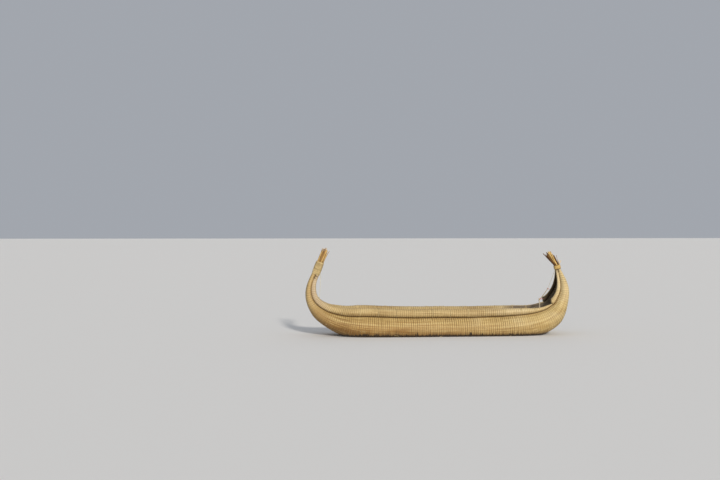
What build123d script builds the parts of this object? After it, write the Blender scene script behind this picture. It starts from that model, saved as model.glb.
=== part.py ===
from build123d import *
import os
from math import acos, atan2, cos, degrees, pi, radians, sin, sqrt

# Reed boat: two big rolls of bound reeds side by side, a thin heart roll in the
# valley between them, and a gunwale roll along each shoulder that tapers out at the
# foot of the bow, where a short neck roll with a blunt end carries the edge on up.
# The rolls are drawn together into a raised neck at each end, where rope binds them
# and the reed tips fan out. Millimetres. +X is the bow, -Y starboard, +Z up. The origin is at
# the middle of the length on the flat underside of the rolls; the boat floats with
# the water at WATERLINE.

M = 1000.0                     # the tables are in metres
WATERLINE = 0.22 * M           # draught of the empty boat
KEEL_GAP = 0.5                 # half of the seam between the two main rolls
CENTRE_RATIO = 0.9             # roll centre from the seam, in transverse half-widths
SEAT_GAP = 5.5                 # room for the lashings between a gunwale and its roll
NECK_GAP = 10.5                # the same under a neck roll
WRAP_WALL = 12.0               # thickness of the rope wound round each neck
STAY_D = 16.0                  # stay rope
TIE_D = 14.0                   # rope that ties a gunwale roll down
PEG_D = 30.0                   # wooden peg that the bow stay is made fast to
MAT_T = 26.0                   # reed floor mat

# Body sections of one side, stern to bow. The main roll is an oval cut flat at the
# seam; the gunwale roll is a circle lying on its shoulder.
# x, z     centre of the main roll on the middle plane (m)
# lean     direction of the section's upper side in the XZ plane (degrees, 90 = up)
# r_in     half-height of the main roll in that direction (m)
# half_w   transverse half-width of the main roll (m)
# seat     how far round the shoulder the gunwale roll lies (degrees from the top)
# r_gun    radius of the gunwale roll, or from row NECK_START on of the neck roll (m)
STATIONS = [
    # x       z      lean    r_in    half_w  seat  r_gun
    (-3.5055, 1.937, -20.6, 0.0524, 0.0528, 0.0, 0.0475),
    (-3.552, 1.848, -18.5, 0.053, 0.061, 4.0, 0.051),
    (-3.591, 1.760, -15.0, 0.054, 0.071, 8.0, 0.056),
    (-3.655, 1.498, 1.0, 0.070, 0.116, 18.0, 0.070),
    (-3.613, 1.185, 24.4, 0.105, 0.179, 23.0, 0.080),
    (-3.523, 1.026, 38.5, 0.137, 0.219, 24.0, 0.082),
    (-3.393, 0.882, 48.5, 0.176, 0.264, 24.0, 0.084),
    (-3.226, 0.762, 58.5, 0.204, 0.292, 24.0, 0.089),
    (-3.008, 0.652, 67.5, 0.242, 0.320, 23.0, 0.099),
    (-2.702, 0.543, 75.0, 0.289, 0.347, 22.0, 0.109),
    (-2.280, 0.468, 82.0, 0.350, 0.373, 21.0, 0.118),
    (-1.700, 0.419, 87.5, 0.383, 0.387, 21.0, 0.116),
    (-0.900, 0.389, 90.0, 0.387, 0.390, 21.0, 0.116),
    (0.000, 0.387, 90.0, 0.387, 0.390, 21.0, 0.115),
    (0.900, 0.388, 90.0, 0.387, 0.390, 21.0, 0.112),
    (1.700, 0.4085, 92.0, 0.3915, 0.389, 21.0, 0.106),
    (2.199, 0.4468, 96.0, 0.3839, 0.387, 21.5, 0.094),
    (2.597, 0.5062, 101.5, 0.3615, 0.383, 22.0, 0.078),
    (2.878, 0.587, 108.5, 0.3421, 0.377, 23.0, 0.057),
    (3.0927, 0.6866, 117.5, 0.3214, 0.369, 24.0, 0.044),
    (3.2677, 0.8186, 129.0, 0.2911, 0.352, 24.0, 0.027),
    (3.3855, 0.9716, 142.0, 0.2371, 0.327, 24.0, 0.085),
    (3.4653, 1.1507, 155.0, 0.1918, 0.300, 23.0, 0.064),
    (3.566, 1.512, 177.0, 0.128, 0.222, 18.0, 0.052),
    (3.530, 1.843, 191.0, 0.072, 0.112, 9.0, 0.038),
    (3.4805, 2.044, 194.5, 0.0372, 0.0390, 0.0, 0.0325),
]
NECK_START = 21                # row of the neck roll's blunt end
NECK_CUT = 100.0               # direction of that end's edge (degrees, as lean)
STERN_WRAP_LEN = 0.381 * M
BOW_WRAP_LEN = 0.145 * M


class Station:
    def __init__(self, x, z, lean, r_in, half_w, seat, r_gun, gap=SEAT_GAP):
        self.x, self.z = x * M, z * M
        self.r_in, self.half_w, self.r_gun = r_in * M, half_w * M, r_gun * M
        self.nx, self.nz = cos(radians(lean)), sin(radians(lean))
        self.centre_u = CENTRE_RATIO * self.half_w
        # the gunwale circle touches the oval where the oval's angle is the seat
        s = radians(seat)
        out_u, out_v = sin(s) / self.half_w, cos(s) / self.r_in
        size = sqrt(out_u ** 2 + out_v ** 2)
        reach = self.r_gun + gap
        self.gun_u = self.centre_u + self.half_w * sin(s) + reach * out_u / size
        self.gun_v = self.r_in * cos(s) + reach * out_v / size

    def plane(self, side):
        # u runs outboard, v towards the inside of the curve
        return Plane(origin=(self.x, 0, self.z), x_dir=(0, side, 0),
                     z_dir=(side * self.nz, 0, -side * self.nx))

    def point(self, side, u, v):
        return Vector(self.x + v * self.nx, side * u, self.z + v * self.nz)


STATION = [Station(*row, gap=NECK_GAP if i >= NECK_START else SEAT_GAP)
           for i, row in enumerate(STATIONS)]
GUNWALE_TIP = Station(3.3259, 0.8836, 134.7, 0.2682, 0.3414, 24.0, 0.017)
NECK_MIDDLE = Station(3.5291, 1.3292, 166.5, 0.1585, 0.2672, 21.0, 0.056, NECK_GAP)
STERN_TIP, BOW_TIP = STATION[0], STATION[-1]
STARBOARD, PORT = -1, 1


def oval(st, angle):
    return (st.centre_u + st.half_w * cos(angle), st.r_in * sin(angle))


def main_section(st, side):
    """Section of a main roll: the flat at the seam and four arcs round the oval."""
    start = pi - acos((st.centre_u - KEEL_GAP) / st.half_w)
    with BuildSketch(st.plane(side)) as section:
        with BuildLine():
            Line(oval(st, -start), oval(st, start))
            for k in range(4):
                a0, a2 = start * (1 - k / 2), start * (0.5 - k / 2)
                ThreePointArc(oval(st, a0), oval(st, (a0 + a2) / 2), oval(st, a2))
        make_face()
    return section.sketch


def round_section(st, side, u, v, radius, plane=None):
    """Section of a slim roll: four arcs, pressed 2% flat by its ties."""
    def at(angle):
        return (u + radius * cos(radians(angle)), v + 0.98 * radius * sin(radians(angle)))

    with BuildSketch(plane or st.plane(side)) as section:
        with BuildLine():
            for a in (-90, 0, 90, 180):
                ThreePointArc(at(a), at(a + 45), at(a + 90))
        make_face()
    return section.sketch


def gunwale_section(st, side):
    return round_section(st, side, st.gun_u, st.gun_v, st.r_gun)


STERN_AXIS = Vector(-STERN_TIP.nz, 0, STERN_TIP.nx)
BOW_AXIS = Vector(BOW_TIP.nz, 0, -BOW_TIP.nx)


def tip_plane(st, axis, distance):
    """Plane across a neck's tip, the section's own plane moved along the neck."""
    origin = Vector(st.x, 0, st.z) + axis * distance
    return Plane(origin=origin, x_dir=(0, 1, 0), z_dir=(st.nz, 0, -st.nx))


def tip_circles(st):
    for side in (STARBOARD, PORT):
        with Locations((side * st.centre_u, 0)):
            Circle(st.half_w)
        with Locations((side * st.gun_u, st.gun_v)):
            Circle(st.r_gun)


# ---------------------------------------------------------------- long rolls
def main_roll(side):
    with BuildPart() as roll:
        add([main_section(st, side) for st in STATION])
        loft()
        for st, axis, length in ((STERN_TIP, STERN_AXIS, STERN_WRAP_LEN),
                                 (BOW_TIP, BOW_AXIS, BOW_WRAP_LEN)):
            add(main_section(st, side))
            extrude(amount=length, dir=axis)
    return roll


def gunwale_roll(side):
    with BuildPart() as roll:
        add([gunwale_section(st, side) for st in STATION[:NECK_START] + [GUNWALE_TIP]])
        loft()
        add(gunwale_section(STERN_TIP, side))
        extrude(amount=STERN_WRAP_LEN, dir=STERN_AXIS)
    return roll


def neck_roll(side):
    """Short roll up the inner edge of the bow, cut blunt where the gunwale tapers out."""
    st = STATION[NECK_START]
    nx, nz = cos(radians(NECK_CUT)), sin(radians(NECK_CUT))
    cut = Plane(origin=st.point(side, st.gun_u, st.gun_v), x_dir=(0, side, 0),
                z_dir=(side * nz, 0, -side * nx))
    with BuildPart() as roll:
        add(round_section(st, side, 0, 0, st.r_gun, cut))
        rows = STATION[NECK_START + 1:]
        add([gunwale_section(st, side) for st in rows[:1] + [NECK_MIDDLE] + rows[1:]])
        loft()
        add(gunwale_section(BOW_TIP, side))
        extrude(amount=BOW_WRAP_LEN, dir=BOW_AXIS)
    return roll


# The heart roll lies on the two main rolls, in the valley between them.
# station index, radius as a share of the main roll's half-height
HEART = [(8, 0.10), (9, 0.15), (10, 0.18), (11, 0.19), (12, 0.19), (13, 0.19),
         (14, 0.19), (15, 0.19), (16, 0.19), (17, 0.18), (18, 0.17), (19, 0.11)]


def heart_centre(st, share):
    radius = share * st.r_in
    mean = st.r_in + radius + 2.0
    return radius, sqrt(mean ** 2 - (st.centre_u * st.r_in / st.half_w) ** 2)


with BuildPart() as heart_bundle:
    for index, share in HEART:
        st = STATION[index]
        radius, height = heart_centre(st, share)
        add(round_section(st, PORT, 0, height, radius))
    loft()

starboard_main_bundle = main_roll(STARBOARD)
port_main_bundle = main_roll(PORT)
starboard_gunwale_bundle = gunwale_roll(STARBOARD)
port_gunwale_bundle = gunwale_roll(PORT)
starboard_neck_roll = neck_roll(STARBOARD)
port_neck_roll = neck_roll(PORT)


# ---------------------------------------------------------------- neck wraps
def neck_wrap(st, axis, length):
    """Rope wound round the four tips: a sleeve whose bore is their outline."""
    with BuildPart() as wrap:
        with BuildSketch(tip_plane(st, axis, 0)):
            tip_circles(st)
            make_hull()
            offset(amount=WRAP_WALL)
        extrude(amount=length, dir=axis)
        with BuildSketch(tip_plane(st, axis, 0)):
            tip_circles(st)
            make_hull()
        extrude(amount=length, dir=axis, mode=Mode.SUBTRACT)
    return wrap


stern_neck_wrap = neck_wrap(STERN_TIP, STERN_AXIS, STERN_WRAP_LEN)
bow_neck_wrap = neck_wrap(BOW_TIP, BOW_AXIS, BOW_WRAP_LEN)


# ---------------------------------------------------------------- reed tufts
def tuft(st, axis, length, rows):
    """Fanned reed tips on top of a wrap. rows: distance along, shift inboard,
    half-width across, half-depth (mm)."""
    with BuildPart() as fan:
        with BuildSketch(tip_plane(st, axis, length)):
            with Locations((0, (st.gun_v) / 2)):
                Ellipse(st.half_w + st.gun_u, (st.r_in + st.gun_v + st.r_gun) / 2)
        for along, shift, half_w, half_d in rows:
            with BuildSketch(tip_plane(st, axis, length + along)):
                with Locations((0, st.gun_v / 2 + shift)):
                    Ellipse(half_w, half_d)
        loft()
    return fan


bow_reed_tuft = tuft(BOW_TIP, BOW_AXIS, BOW_WRAP_LEN,
                     [(140.0, 40.0, 84.0, 80.0), (290.0, 84.0, 100.0, 96.0),
                      (380.0, 112.0, 98.0, 94.0), (425.0, 124.0, 70.0, 64.0)])
stern_reed_tuft = tuft(STERN_TIP, STERN_AXIS, STERN_WRAP_LEN,
                       [(150.0, 5.0, 96.0, 90.0), (300.0, 10.0, 92.0, 84.0),
                        (390.0, 14.0, 88.0, 78.0), (430.0, 16.0, 62.0, 56.0)])

# ---------------------------------------------------------------- bow peg and stays
PEG_X, PEG_FOOT_Z, PEG_TOP_Z = 2.916 * M, 0.84 * M, 1.228 * M
with BuildPart() as bow_stay_peg:
    with BuildSketch(Plane.XY.offset(PEG_FOOT_Z)):
        with Locations((PEG_X, 0)):
            Circle(PEG_D / 2)
    extrude(amount=PEG_TOP_Z - PEG_FOOT_Z)
    fillet(bow_stay_peg.edges().sort_by(Axis.Z)[-1], 4.0)

with heart_bundle:
    with BuildSketch(Plane.XY.offset(PEG_FOOT_Z)):
        with Locations((PEG_X, 0)):
            Circle(PEG_D / 2)
    extrude(amount=PEG_TOP_Z - PEG_FOOT_Z, mode=Mode.SUBTRACT)


def rope(points, diameter, knots):
    """Taut rope through the points, with a ball for each knot (index, diameter)."""
    with BuildPart() as line:
        for a, b in zip(points, points[1:]):
            run = Vector(*b) - Vector(*a)
            with BuildSketch(Plane(origin=a, z_dir=run)):
                Circle(diameter / 2)
            extrude(amount=run.length)
        for index, size in knots:
            with Locations(points[index]):
                Sphere(size / 2)
    return line


def wrap_face(st, axis, along):
    """Point just under the inner face of a wrap, that far above its lower end."""
    return tuple(st.point(PORT, 0, st.gun_v + st.r_gun + WRAP_WALL - 3.0) + axis * along)


BOW_STAY = [wrap_face(BOW_TIP, BOW_AXIS, 10.0), (3162.0, 0.0, 1497.0),
            (PEG_X + 24.0, 0.0, PEG_TOP_Z - 24.0)]
bow_stay = rope(BOW_STAY, STAY_D, [(1, 44.0), (2, 44.0)])
with bow_stay:
    add(bow_neck_wrap.part, mode=Mode.SUBTRACT)
    add(bow_stay_peg.part, mode=Mode.SUBTRACT)
    add(starboard_neck_roll.part, mode=Mode.SUBTRACT)
    add(port_neck_roll.part, mode=Mode.SUBTRACT)

FOOT = STATION[4]              # the stern stay is knotted to the starboard gunwale here
KNOT_V = FOOT.gun_v + FOOT.r_gun + 16.0
STERN_STAY = [wrap_face(STERN_TIP, STERN_AXIS, 85.0), tuple(FOOT.point(STARBOARD, FOOT.gun_u - 12.0, KNOT_V))]
stern_stay = rope(STERN_STAY, STAY_D, [(1, 40.0)])
with stern_stay:
    add(stern_neck_wrap.part, mode=Mode.SUBTRACT)
    add(starboard_gunwale_bundle.part, mode=Mode.SUBTRACT)

# ---------------------------------------------------------------- floor mat
# bottom line of the mat: x, z (m), lying on the crowns of the rolls
MAT_LINE = [(-2.20, 0.8175), (-1.70, 0.8060), (-0.90, 0.7795), (0.00, 0.7765),
            (0.90, 0.7775), (1.70, 0.8030), (2.15, 0.8305)]
MAT_HALF_W = 370.0
with BuildPart() as floor_mat:
    with BuildSketch(Plane.XZ.offset(-MAT_HALF_W)):
        with BuildLine():
            low = [(x * M, z * M) for x, z in MAT_LINE]
            high = [(x, z + MAT_T) for x, z in low]
            Spline(low)
            Spline(high)
            Line(low[0], high[0])
            Line(low[-1], high[-1])
        make_face()
    extrude(amount=2 * MAT_HALF_W)

# ---------------------------------------------------------------- gunwale ties
# Rope over a gunwale roll, from the groove outside to the groove inside.
TIE_X = [-2.75, -2.25, -1.75, -1.25, -0.75, -0.25, 0.25, 0.75, 1.25, 1.75, 2.25, 2.65]
TIE_FROM, TIE_SWEEP = -65.0, 284.0   # degrees from outboard, anticlockwise over the top


def gunwale_ties(side, gunwale):
    with BuildPart() as ties:
        for x in TIE_X:
            cut = section(gunwale.part, section_by=Plane(origin=(x * M, 0, 0), z_dir=(1, 0, 0)),
                          mode=Mode.PRIVATE)
            middle = cut.face().center()
            ring = cut.bounding_box().size.Y / 2 + TIE_D / 2 + 1.8
            plane = Plane(origin=middle, x_dir=(0, side, 0), z_dir=(side, 0, 0))
            with BuildLine(plane) as loop:
                CenterArc((0, 0), ring, TIE_FROM, TIE_SWEEP)
            with BuildSketch(Plane(origin=loop.line @ 0, z_dir=loop.line % 0)):
                Circle(TIE_D / 2)
            sweep(path=loop.line)
    return ties


starboard_gunwale_ties = gunwale_ties(STARBOARD, starboard_gunwale_bundle)
port_gunwale_ties = gunwale_ties(PORT, port_gunwale_bundle)

# ---------------------------------------------------------------- files
PIECES = {
    "starboard_main_bundle": starboard_main_bundle,
    "port_main_bundle": port_main_bundle,
    "heart_bundle": heart_bundle,
    "starboard_gunwale_bundle": starboard_gunwale_bundle,
    "port_gunwale_bundle": port_gunwale_bundle,
    "starboard_neck_roll": starboard_neck_roll,
    "port_neck_roll": port_neck_roll,
    "stern_neck_wrap": stern_neck_wrap,
    "bow_neck_wrap": bow_neck_wrap,
    "stern_reed_tuft": stern_reed_tuft,
    "bow_reed_tuft": bow_reed_tuft,
    "bow_stay_peg": bow_stay_peg,
    "bow_stay": bow_stay,
    "stern_stay": stern_stay,
    "floor_mat": floor_mat,
    "starboard_gunwale_ties": starboard_gunwale_ties,
    "port_gunwale_ties": port_gunwale_ties,
}
os.makedirs("parts", exist_ok=True)
for name, piece in PIECES.items():
    piece.part.label = name
    export_step(piece.part, f"parts/{name}.step")
    print(name, round(piece.part.volume / 1e9, 5), "m3", piece.part.is_valid, len(piece.part.solids()))
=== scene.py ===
import math

import bpy
import numpy as np
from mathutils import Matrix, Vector


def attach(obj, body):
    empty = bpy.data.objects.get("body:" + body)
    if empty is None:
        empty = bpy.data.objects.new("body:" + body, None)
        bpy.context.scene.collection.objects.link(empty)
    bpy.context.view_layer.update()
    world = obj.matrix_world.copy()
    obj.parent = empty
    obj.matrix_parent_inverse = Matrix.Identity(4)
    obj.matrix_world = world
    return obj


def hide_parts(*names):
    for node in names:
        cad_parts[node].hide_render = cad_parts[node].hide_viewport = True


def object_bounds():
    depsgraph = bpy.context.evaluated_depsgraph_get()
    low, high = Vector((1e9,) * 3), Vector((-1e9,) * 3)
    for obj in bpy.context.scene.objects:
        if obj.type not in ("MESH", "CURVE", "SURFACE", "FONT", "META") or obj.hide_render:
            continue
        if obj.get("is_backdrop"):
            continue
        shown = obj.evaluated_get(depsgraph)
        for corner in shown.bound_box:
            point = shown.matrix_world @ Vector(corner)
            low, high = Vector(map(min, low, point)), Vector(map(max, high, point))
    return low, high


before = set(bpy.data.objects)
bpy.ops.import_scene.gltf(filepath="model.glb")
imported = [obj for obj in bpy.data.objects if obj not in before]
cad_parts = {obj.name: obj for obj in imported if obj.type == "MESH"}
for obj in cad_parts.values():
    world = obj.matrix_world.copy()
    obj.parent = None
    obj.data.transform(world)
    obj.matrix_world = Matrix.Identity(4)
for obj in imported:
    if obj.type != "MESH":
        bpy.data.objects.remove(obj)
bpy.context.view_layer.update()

PI = math.pi
WATER_Z = 0.22            # the water's surface, where the floor is
STARBOARD, PORT = -1.0, 1.0

# ------------------------------------------------------------------ hull shape
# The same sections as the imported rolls, stern to bow, in metres and degrees.
# x, z of the main roll's centre, lean of the section, half-height, half-width,
# seat of the gunwale on the shoulder, radius of the gunwale (from row 21 on, of the neck roll)
STATIONS = np.array([
    (-3.5055, 1.937, -20.6, 0.0524, 0.0528, 0.0, 0.0475),
    (-3.552, 1.848, -18.5, 0.053, 0.061, 4.0, 0.051),
    (-3.591, 1.760, -15.0, 0.054, 0.071, 8.0, 0.056),
    (-3.655, 1.498, 1.0, 0.070, 0.116, 18.0, 0.070),
    (-3.613, 1.185, 24.4, 0.105, 0.179, 23.0, 0.080),
    (-3.523, 1.026, 38.5, 0.137, 0.219, 24.0, 0.082),
    (-3.393, 0.882, 48.5, 0.176, 0.264, 24.0, 0.084),
    (-3.226, 0.762, 58.5, 0.204, 0.292, 24.0, 0.089),
    (-3.008, 0.652, 67.5, 0.242, 0.320, 23.0, 0.099),
    (-2.702, 0.543, 75.0, 0.289, 0.347, 22.0, 0.109),
    (-2.280, 0.468, 82.0, 0.350, 0.373, 21.0, 0.118),
    (-1.700, 0.419, 87.5, 0.383, 0.387, 21.0, 0.116),
    (-0.900, 0.389, 90.0, 0.387, 0.390, 21.0, 0.116),
    (0.000, 0.387, 90.0, 0.387, 0.390, 21.0, 0.115),
    (0.900, 0.388, 90.0, 0.387, 0.390, 21.0, 0.112),
    (1.700, 0.4085, 92.0, 0.3915, 0.389, 21.0, 0.106),
    (2.199, 0.4468, 96.0, 0.3839, 0.387, 21.5, 0.094),
    (2.597, 0.5062, 101.5, 0.3615, 0.383, 22.0, 0.078),
    (2.878, 0.587, 108.5, 0.3421, 0.377, 23.0, 0.057),
    (3.0927, 0.6866, 117.5, 0.3214, 0.369, 24.0, 0.044),
    (3.2677, 0.8186, 129.0, 0.2911, 0.352, 24.0, 0.027),
    (3.3855, 0.9716, 142.0, 0.2371, 0.327, 24.0, 0.085),
    (3.4653, 1.1507, 155.0, 0.1918, 0.300, 23.0, 0.064),
    (3.566, 1.512, 177.0, 0.128, 0.222, 18.0, 0.052),
    (3.530, 1.843, 191.0, 0.072, 0.112, 9.0, 0.038),
    (3.4805, 2.044, 194.5, 0.0372, 0.0390, 0.0, 0.0325),
])
NECK_START, NECK_CUT = 21, 100.0      # row and slant of the neck roll's blunt end
TIP_SHARE, TIP_RADIUS = 0.45, 0.017   # where between rows 20 and 21 the gunwale tapers out
CENTRE_RATIO, SEAT_GAP, NECK_GAP, WRAP_WALL = 0.9, 0.0030, 0.0020, 0.012
STERN_WRAP, BOW_WRAP = 0.381, 0.145


def natural_spline(s, y):
    """Second derivatives of the natural cubic spline through (s, y)."""
    n = len(s)
    h = np.diff(s)
    a = np.zeros((n, n))
    b = np.zeros(n)
    a[0, 0] = a[-1, -1] = 1
    for i in range(1, n - 1):
        a[i, i - 1], a[i, i], a[i, i + 1] = h[i - 1], 2 * (h[i - 1] + h[i]), h[i]
        b[i] = 6 * ((y[i + 1] - y[i]) / h[i] - (y[i] - y[i - 1]) / h[i - 1])
    return np.linalg.solve(a, b)


def spline_at(s, y, m, q):
    i = np.clip(np.searchsorted(s, q) - 1, 0, len(s) - 2)
    h = s[i + 1] - s[i]
    a, b = (s[i + 1] - q) / h, (q - s[i]) / h
    return a * y[i] + b * y[i + 1] + ((a ** 3 - a) * m[i] + (b ** 3 - b) * m[i + 1]) * h * h / 6


KNOT = np.concatenate([[0], np.cumsum(np.hypot(*np.diff(STATIONS[:, :2], axis=0).T))])
CURVES = [natural_spline(KNOT, STATIONS[:, c]) for c in range(6)]
GUNWALE_END = float(KNOT[NECK_START - 1] + TIP_SHARE * (KNOT[NECK_START] - KNOT[NECK_START - 1]))
GUNWALE_KNOT = np.append(KNOT[:NECK_START], GUNWALE_END)
GUNWALE_R = np.append(STATIONS[:NECK_START, 6], TIP_RADIUS)
RG_GUNWALE = natural_spline(GUNWALE_KNOT, GUNWALE_R)
RG_NECK = natural_spline(KNOT[NECK_START:], STATIONS[NECK_START:, 6])
HULL_LEN = float(KNOT[-1])


class Frames:
    """Section planes across a roll: u outboard, v to the inside of the curve."""

    def __init__(self, s, x, z, lean, over=0.0):
        self.s = s
        self.nx, self.nz = np.cos(lean), np.sin(lean)
        self.tx, self.tz = self.nz, -self.nx          # along the hull, towards the bow
        self.x, self.z = x + over * self.tx, z + over * self.tz

    def place(self, side, u, v):
        shape = (len(self.s),) + (1,) * (np.ndim(u) - 1)
        x, z, nx, nz = (a.reshape(shape) for a in (self.x, self.z, self.nx, self.nz))
        return np.stack([x + v * nx, side * u + 0 * x, z + v * nz], -1)


class Sections(Frames):
    """The hull's sections at distances s along it; beyond the ends the tips run straight on."""

    def __init__(self, s):
        s = np.atleast_1d(np.asarray(s, float))
        q = np.clip(s, 0, HULL_LEN)
        x, z, lean, self.R, self.W, seat = [spline_at(KNOT, STATIONS[:, c], CURVES[c], q) for c in range(6)]
        super().__init__(s, x, z, np.radians(lean), s - q)
        high = KNOT[NECK_START:]
        self.rg = np.where(
            q <= GUNWALE_END,
            spline_at(GUNWALE_KNOT, GUNWALE_R, RG_GUNWALE, np.clip(q, 0, GUNWALE_END)),
            spline_at(high, STATIONS[NECK_START:, 6], RG_NECK, np.clip(q, high[0], high[-1])))
        seat = np.radians(seat)
        self.cu = CENTRE_RATIO * self.W
        ou, ov = np.sin(seat) / self.W, np.cos(seat) / self.R
        size = np.hypot(ou, ov)
        slit = np.where(q <= GUNWALE_END, SEAT_GAP, NECK_GAP)
        reach = self.rg + slit
        self.gu = self.cu + self.W * np.sin(seat) + reach * ou / size
        self.gv = self.R * np.cos(seat) + reach * ov / size
        # the line where the two rolls lie against each other, and its direction across the groove
        self.pu = self.cu + self.W * np.sin(seat) + 0.5 * slit * ou / size
        self.pv = self.R * np.cos(seat) + 0.5 * slit * ov / size
        self.au, self.av = ov / size, -ou / size


class NeckFrames(Frames):
    """Sections of a neck roll at distances t from its blunt end, which is cut on another slant."""

    def __init__(self, t):
        t = np.atleast_1d(np.asarray(t, float))
        sec = Sections(KNOT[NECK_START] + t)
        turn = math.radians(NECK_CUT - STATIONS[NECK_START, 2]) * np.clip(1 - t / 0.2, 0, 1) ** 2
        super().__init__(t, sec.x + sec.gv * sec.nx, sec.z + sec.gv * sec.nz, np.arctan2(sec.nz, sec.nx) + turn)
        self.gu, self.gv, self.rg = sec.gu, 0 * t, sec.rg


NECK_LEN = HULL_LEN - float(KNOT[NECK_START])


# ------------------------------------------------------------------ mesh helpers
TRIS = {}


def new_object(name, verts, quads, tris=(), attributes=None, smooth=True, material=None):
    """A mesh object from arrays; faces are turned outward if the closed mesh is inside out."""
    verts = np.asarray(verts, np.float32).reshape(-1, 3)
    quads = np.asarray(quads, np.int64).reshape(-1, 4)
    tris = np.asarray(tris, np.int64).reshape(-1, 3)
    v = verts.astype(float)
    vol = 0.0
    for f in ([quads[:, [0, 1, 2]], quads[:, [0, 2, 3]]] if len(quads) else []) + ([tris] if len(tris) else []):
        vol += np.einsum("ij,ij->", v[f[:, 0]], np.cross(v[f[:, 1]], v[f[:, 2]])) / 6
    if vol < 0:
        quads, tris = quads[:, ::-1], tris[:, ::-1]
    mesh = bpy.data.meshes.new(name)
    mesh.vertices.add(len(verts))
    mesh.vertices.foreach_set("co", verts.ravel())
    loops = np.concatenate([quads.ravel(), tris.ravel()]).astype(np.int32)
    mesh.loops.add(len(loops))
    mesh.loops.foreach_set("vertex_index", loops)
    sizes = np.concatenate([np.full(len(quads), 4), np.full(len(tris), 3)])
    starts = np.concatenate([[0], np.cumsum(sizes)[:-1]]).astype(np.int32)
    mesh.polygons.add(len(sizes))
    mesh.polygons.foreach_set("loop_start", starts)
    mesh.update(calc_edges=True)
    mesh.validate()
    mesh.polygons.foreach_set("use_smooth", np.full(len(mesh.polygons), smooth))
    for key, values in (attributes or {}).items():
        values = np.asarray(values, np.float32)
        if values.ndim == 1:
            mesh.attributes.new(key, "FLOAT", "POINT").data.foreach_set("value", values)
        else:
            mesh.attributes.new(key, "FLOAT_VECTOR", "POINT").data.foreach_set("vector", values.ravel())
    obj = bpy.data.objects.new(name, mesh)
    bpy.context.scene.collection.objects.link(obj)
    if material:
        mesh.materials.append(material)
    TRIS[name] = 2 * len(quads) + len(tris)
    return obj


class Batch:
    """Many small meshes joined into one object."""

    def __init__(self):
        self.verts, self.quads, self.tris, self.attrs, self.n = [], [], [], {}, 0

    def add(self, verts, quads, tris=(), **attrs):
        verts = np.asarray(verts, float).reshape(-1, 3)
        self.verts.append(verts)
        if len(quads):
            self.quads.append(np.asarray(quads).reshape(-1, 4) + self.n)
        if len(tris):
            self.tris.append(np.asarray(tris).reshape(-1, 3) + self.n)
        for k, a in attrs.items():
            a = np.asarray(a, float)
            if a.ndim == 0:
                a = np.full(len(verts), float(a))
            self.attrs.setdefault(k, []).append(a)
        self.n += len(verts)

    def make(self, name, material=None, smooth=True):
        return new_object(
            name, np.concatenate(self.verts),
            np.concatenate(self.quads) if self.quads else np.zeros((0, 4), int),
            np.concatenate(self.tris) if self.tris else np.zeros((0, 3), int),
            {k: np.concatenate(a) for k, a in self.attrs.items()}, smooth, material)


def ring_faces(rings, around, closed_rings=False):
    """Quads of a grid of rings, closed around."""
    i = np.arange(rings if closed_rings else rings - 1)[:, None]
    j = np.arange(around)[None, :]
    i2, j2 = (i + 1) % rings, (j + 1) % around
    return np.stack([i * around + j, i * around + j2, i2 * around + j2, i2 * around + j], -1).reshape(-1, 4)


def path_frames(points):
    """Tangents and two normals along a line of points, with no twist."""
    p = np.asarray(points, float)
    t = np.gradient(p, axis=0)
    t /= np.linalg.norm(t, axis=1)[:, None] + 1e-12
    a = np.zeros_like(p)
    ref = np.array([0, 0, 1.0]) if abs(t[0, 2]) < 0.9 else np.array([1.0, 0, 0])
    a[0] = np.cross(t[0], ref)
    a[0] /= np.linalg.norm(a[0])
    for i in range(1, len(p)):
        v = a[i - 1] - t[i] * (a[i - 1] @ t[i])
        a[i] = v / (np.linalg.norm(v) + 1e-12)
    return t, a, np.cross(t, a)


def tube(points, radius, sides=6, closed=False, flat=1.0):
    """(verts, quads, tris) of a tube with capped ends; radius may vary along it."""
    p = np.asarray(points, float)
    t, a, b = path_frames(p)
    r = np.broadcast_to(np.asarray(radius, float), (len(p),))[:, None, None]
    ang = np.linspace(0, 2 * PI, sides, endpoint=False)
    ring = np.cos(ang)[None, :, None] * a[:, None] + flat * np.sin(ang)[None, :, None] * b[:, None]
    v = (p[:, None] + r * ring).reshape(-1, 3)
    q = ring_faces(len(p), sides)
    if closed:
        return v, q, ()
    n = len(v)
    v = np.concatenate([v, p[:1], p[-1:]])
    j = np.arange(sides)
    j2 = (j + 1) % sides
    low = np.stack([np.full(sides, n), j2, j], -1)
    off = (len(p) - 1) * sides
    high = np.stack([np.full(sides, n + 1), off + j, off + j2], -1)
    return v, q, np.concatenate([low, high])


# ------------------------------------------------------------------ materials
def new_material(name):
    mat = bpy.data.materials.new(name)
    mat.use_nodes = True
    nt = mat.node_tree
    nt.nodes.clear()
    out = nt.nodes.new("ShaderNodeOutputMaterial")
    bsdf = nt.nodes.new("ShaderNodeBsdfPrincipled")
    nt.links.new(bsdf.outputs["BSDF"], out.inputs["Surface"])
    return mat, nt, bsdf


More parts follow.
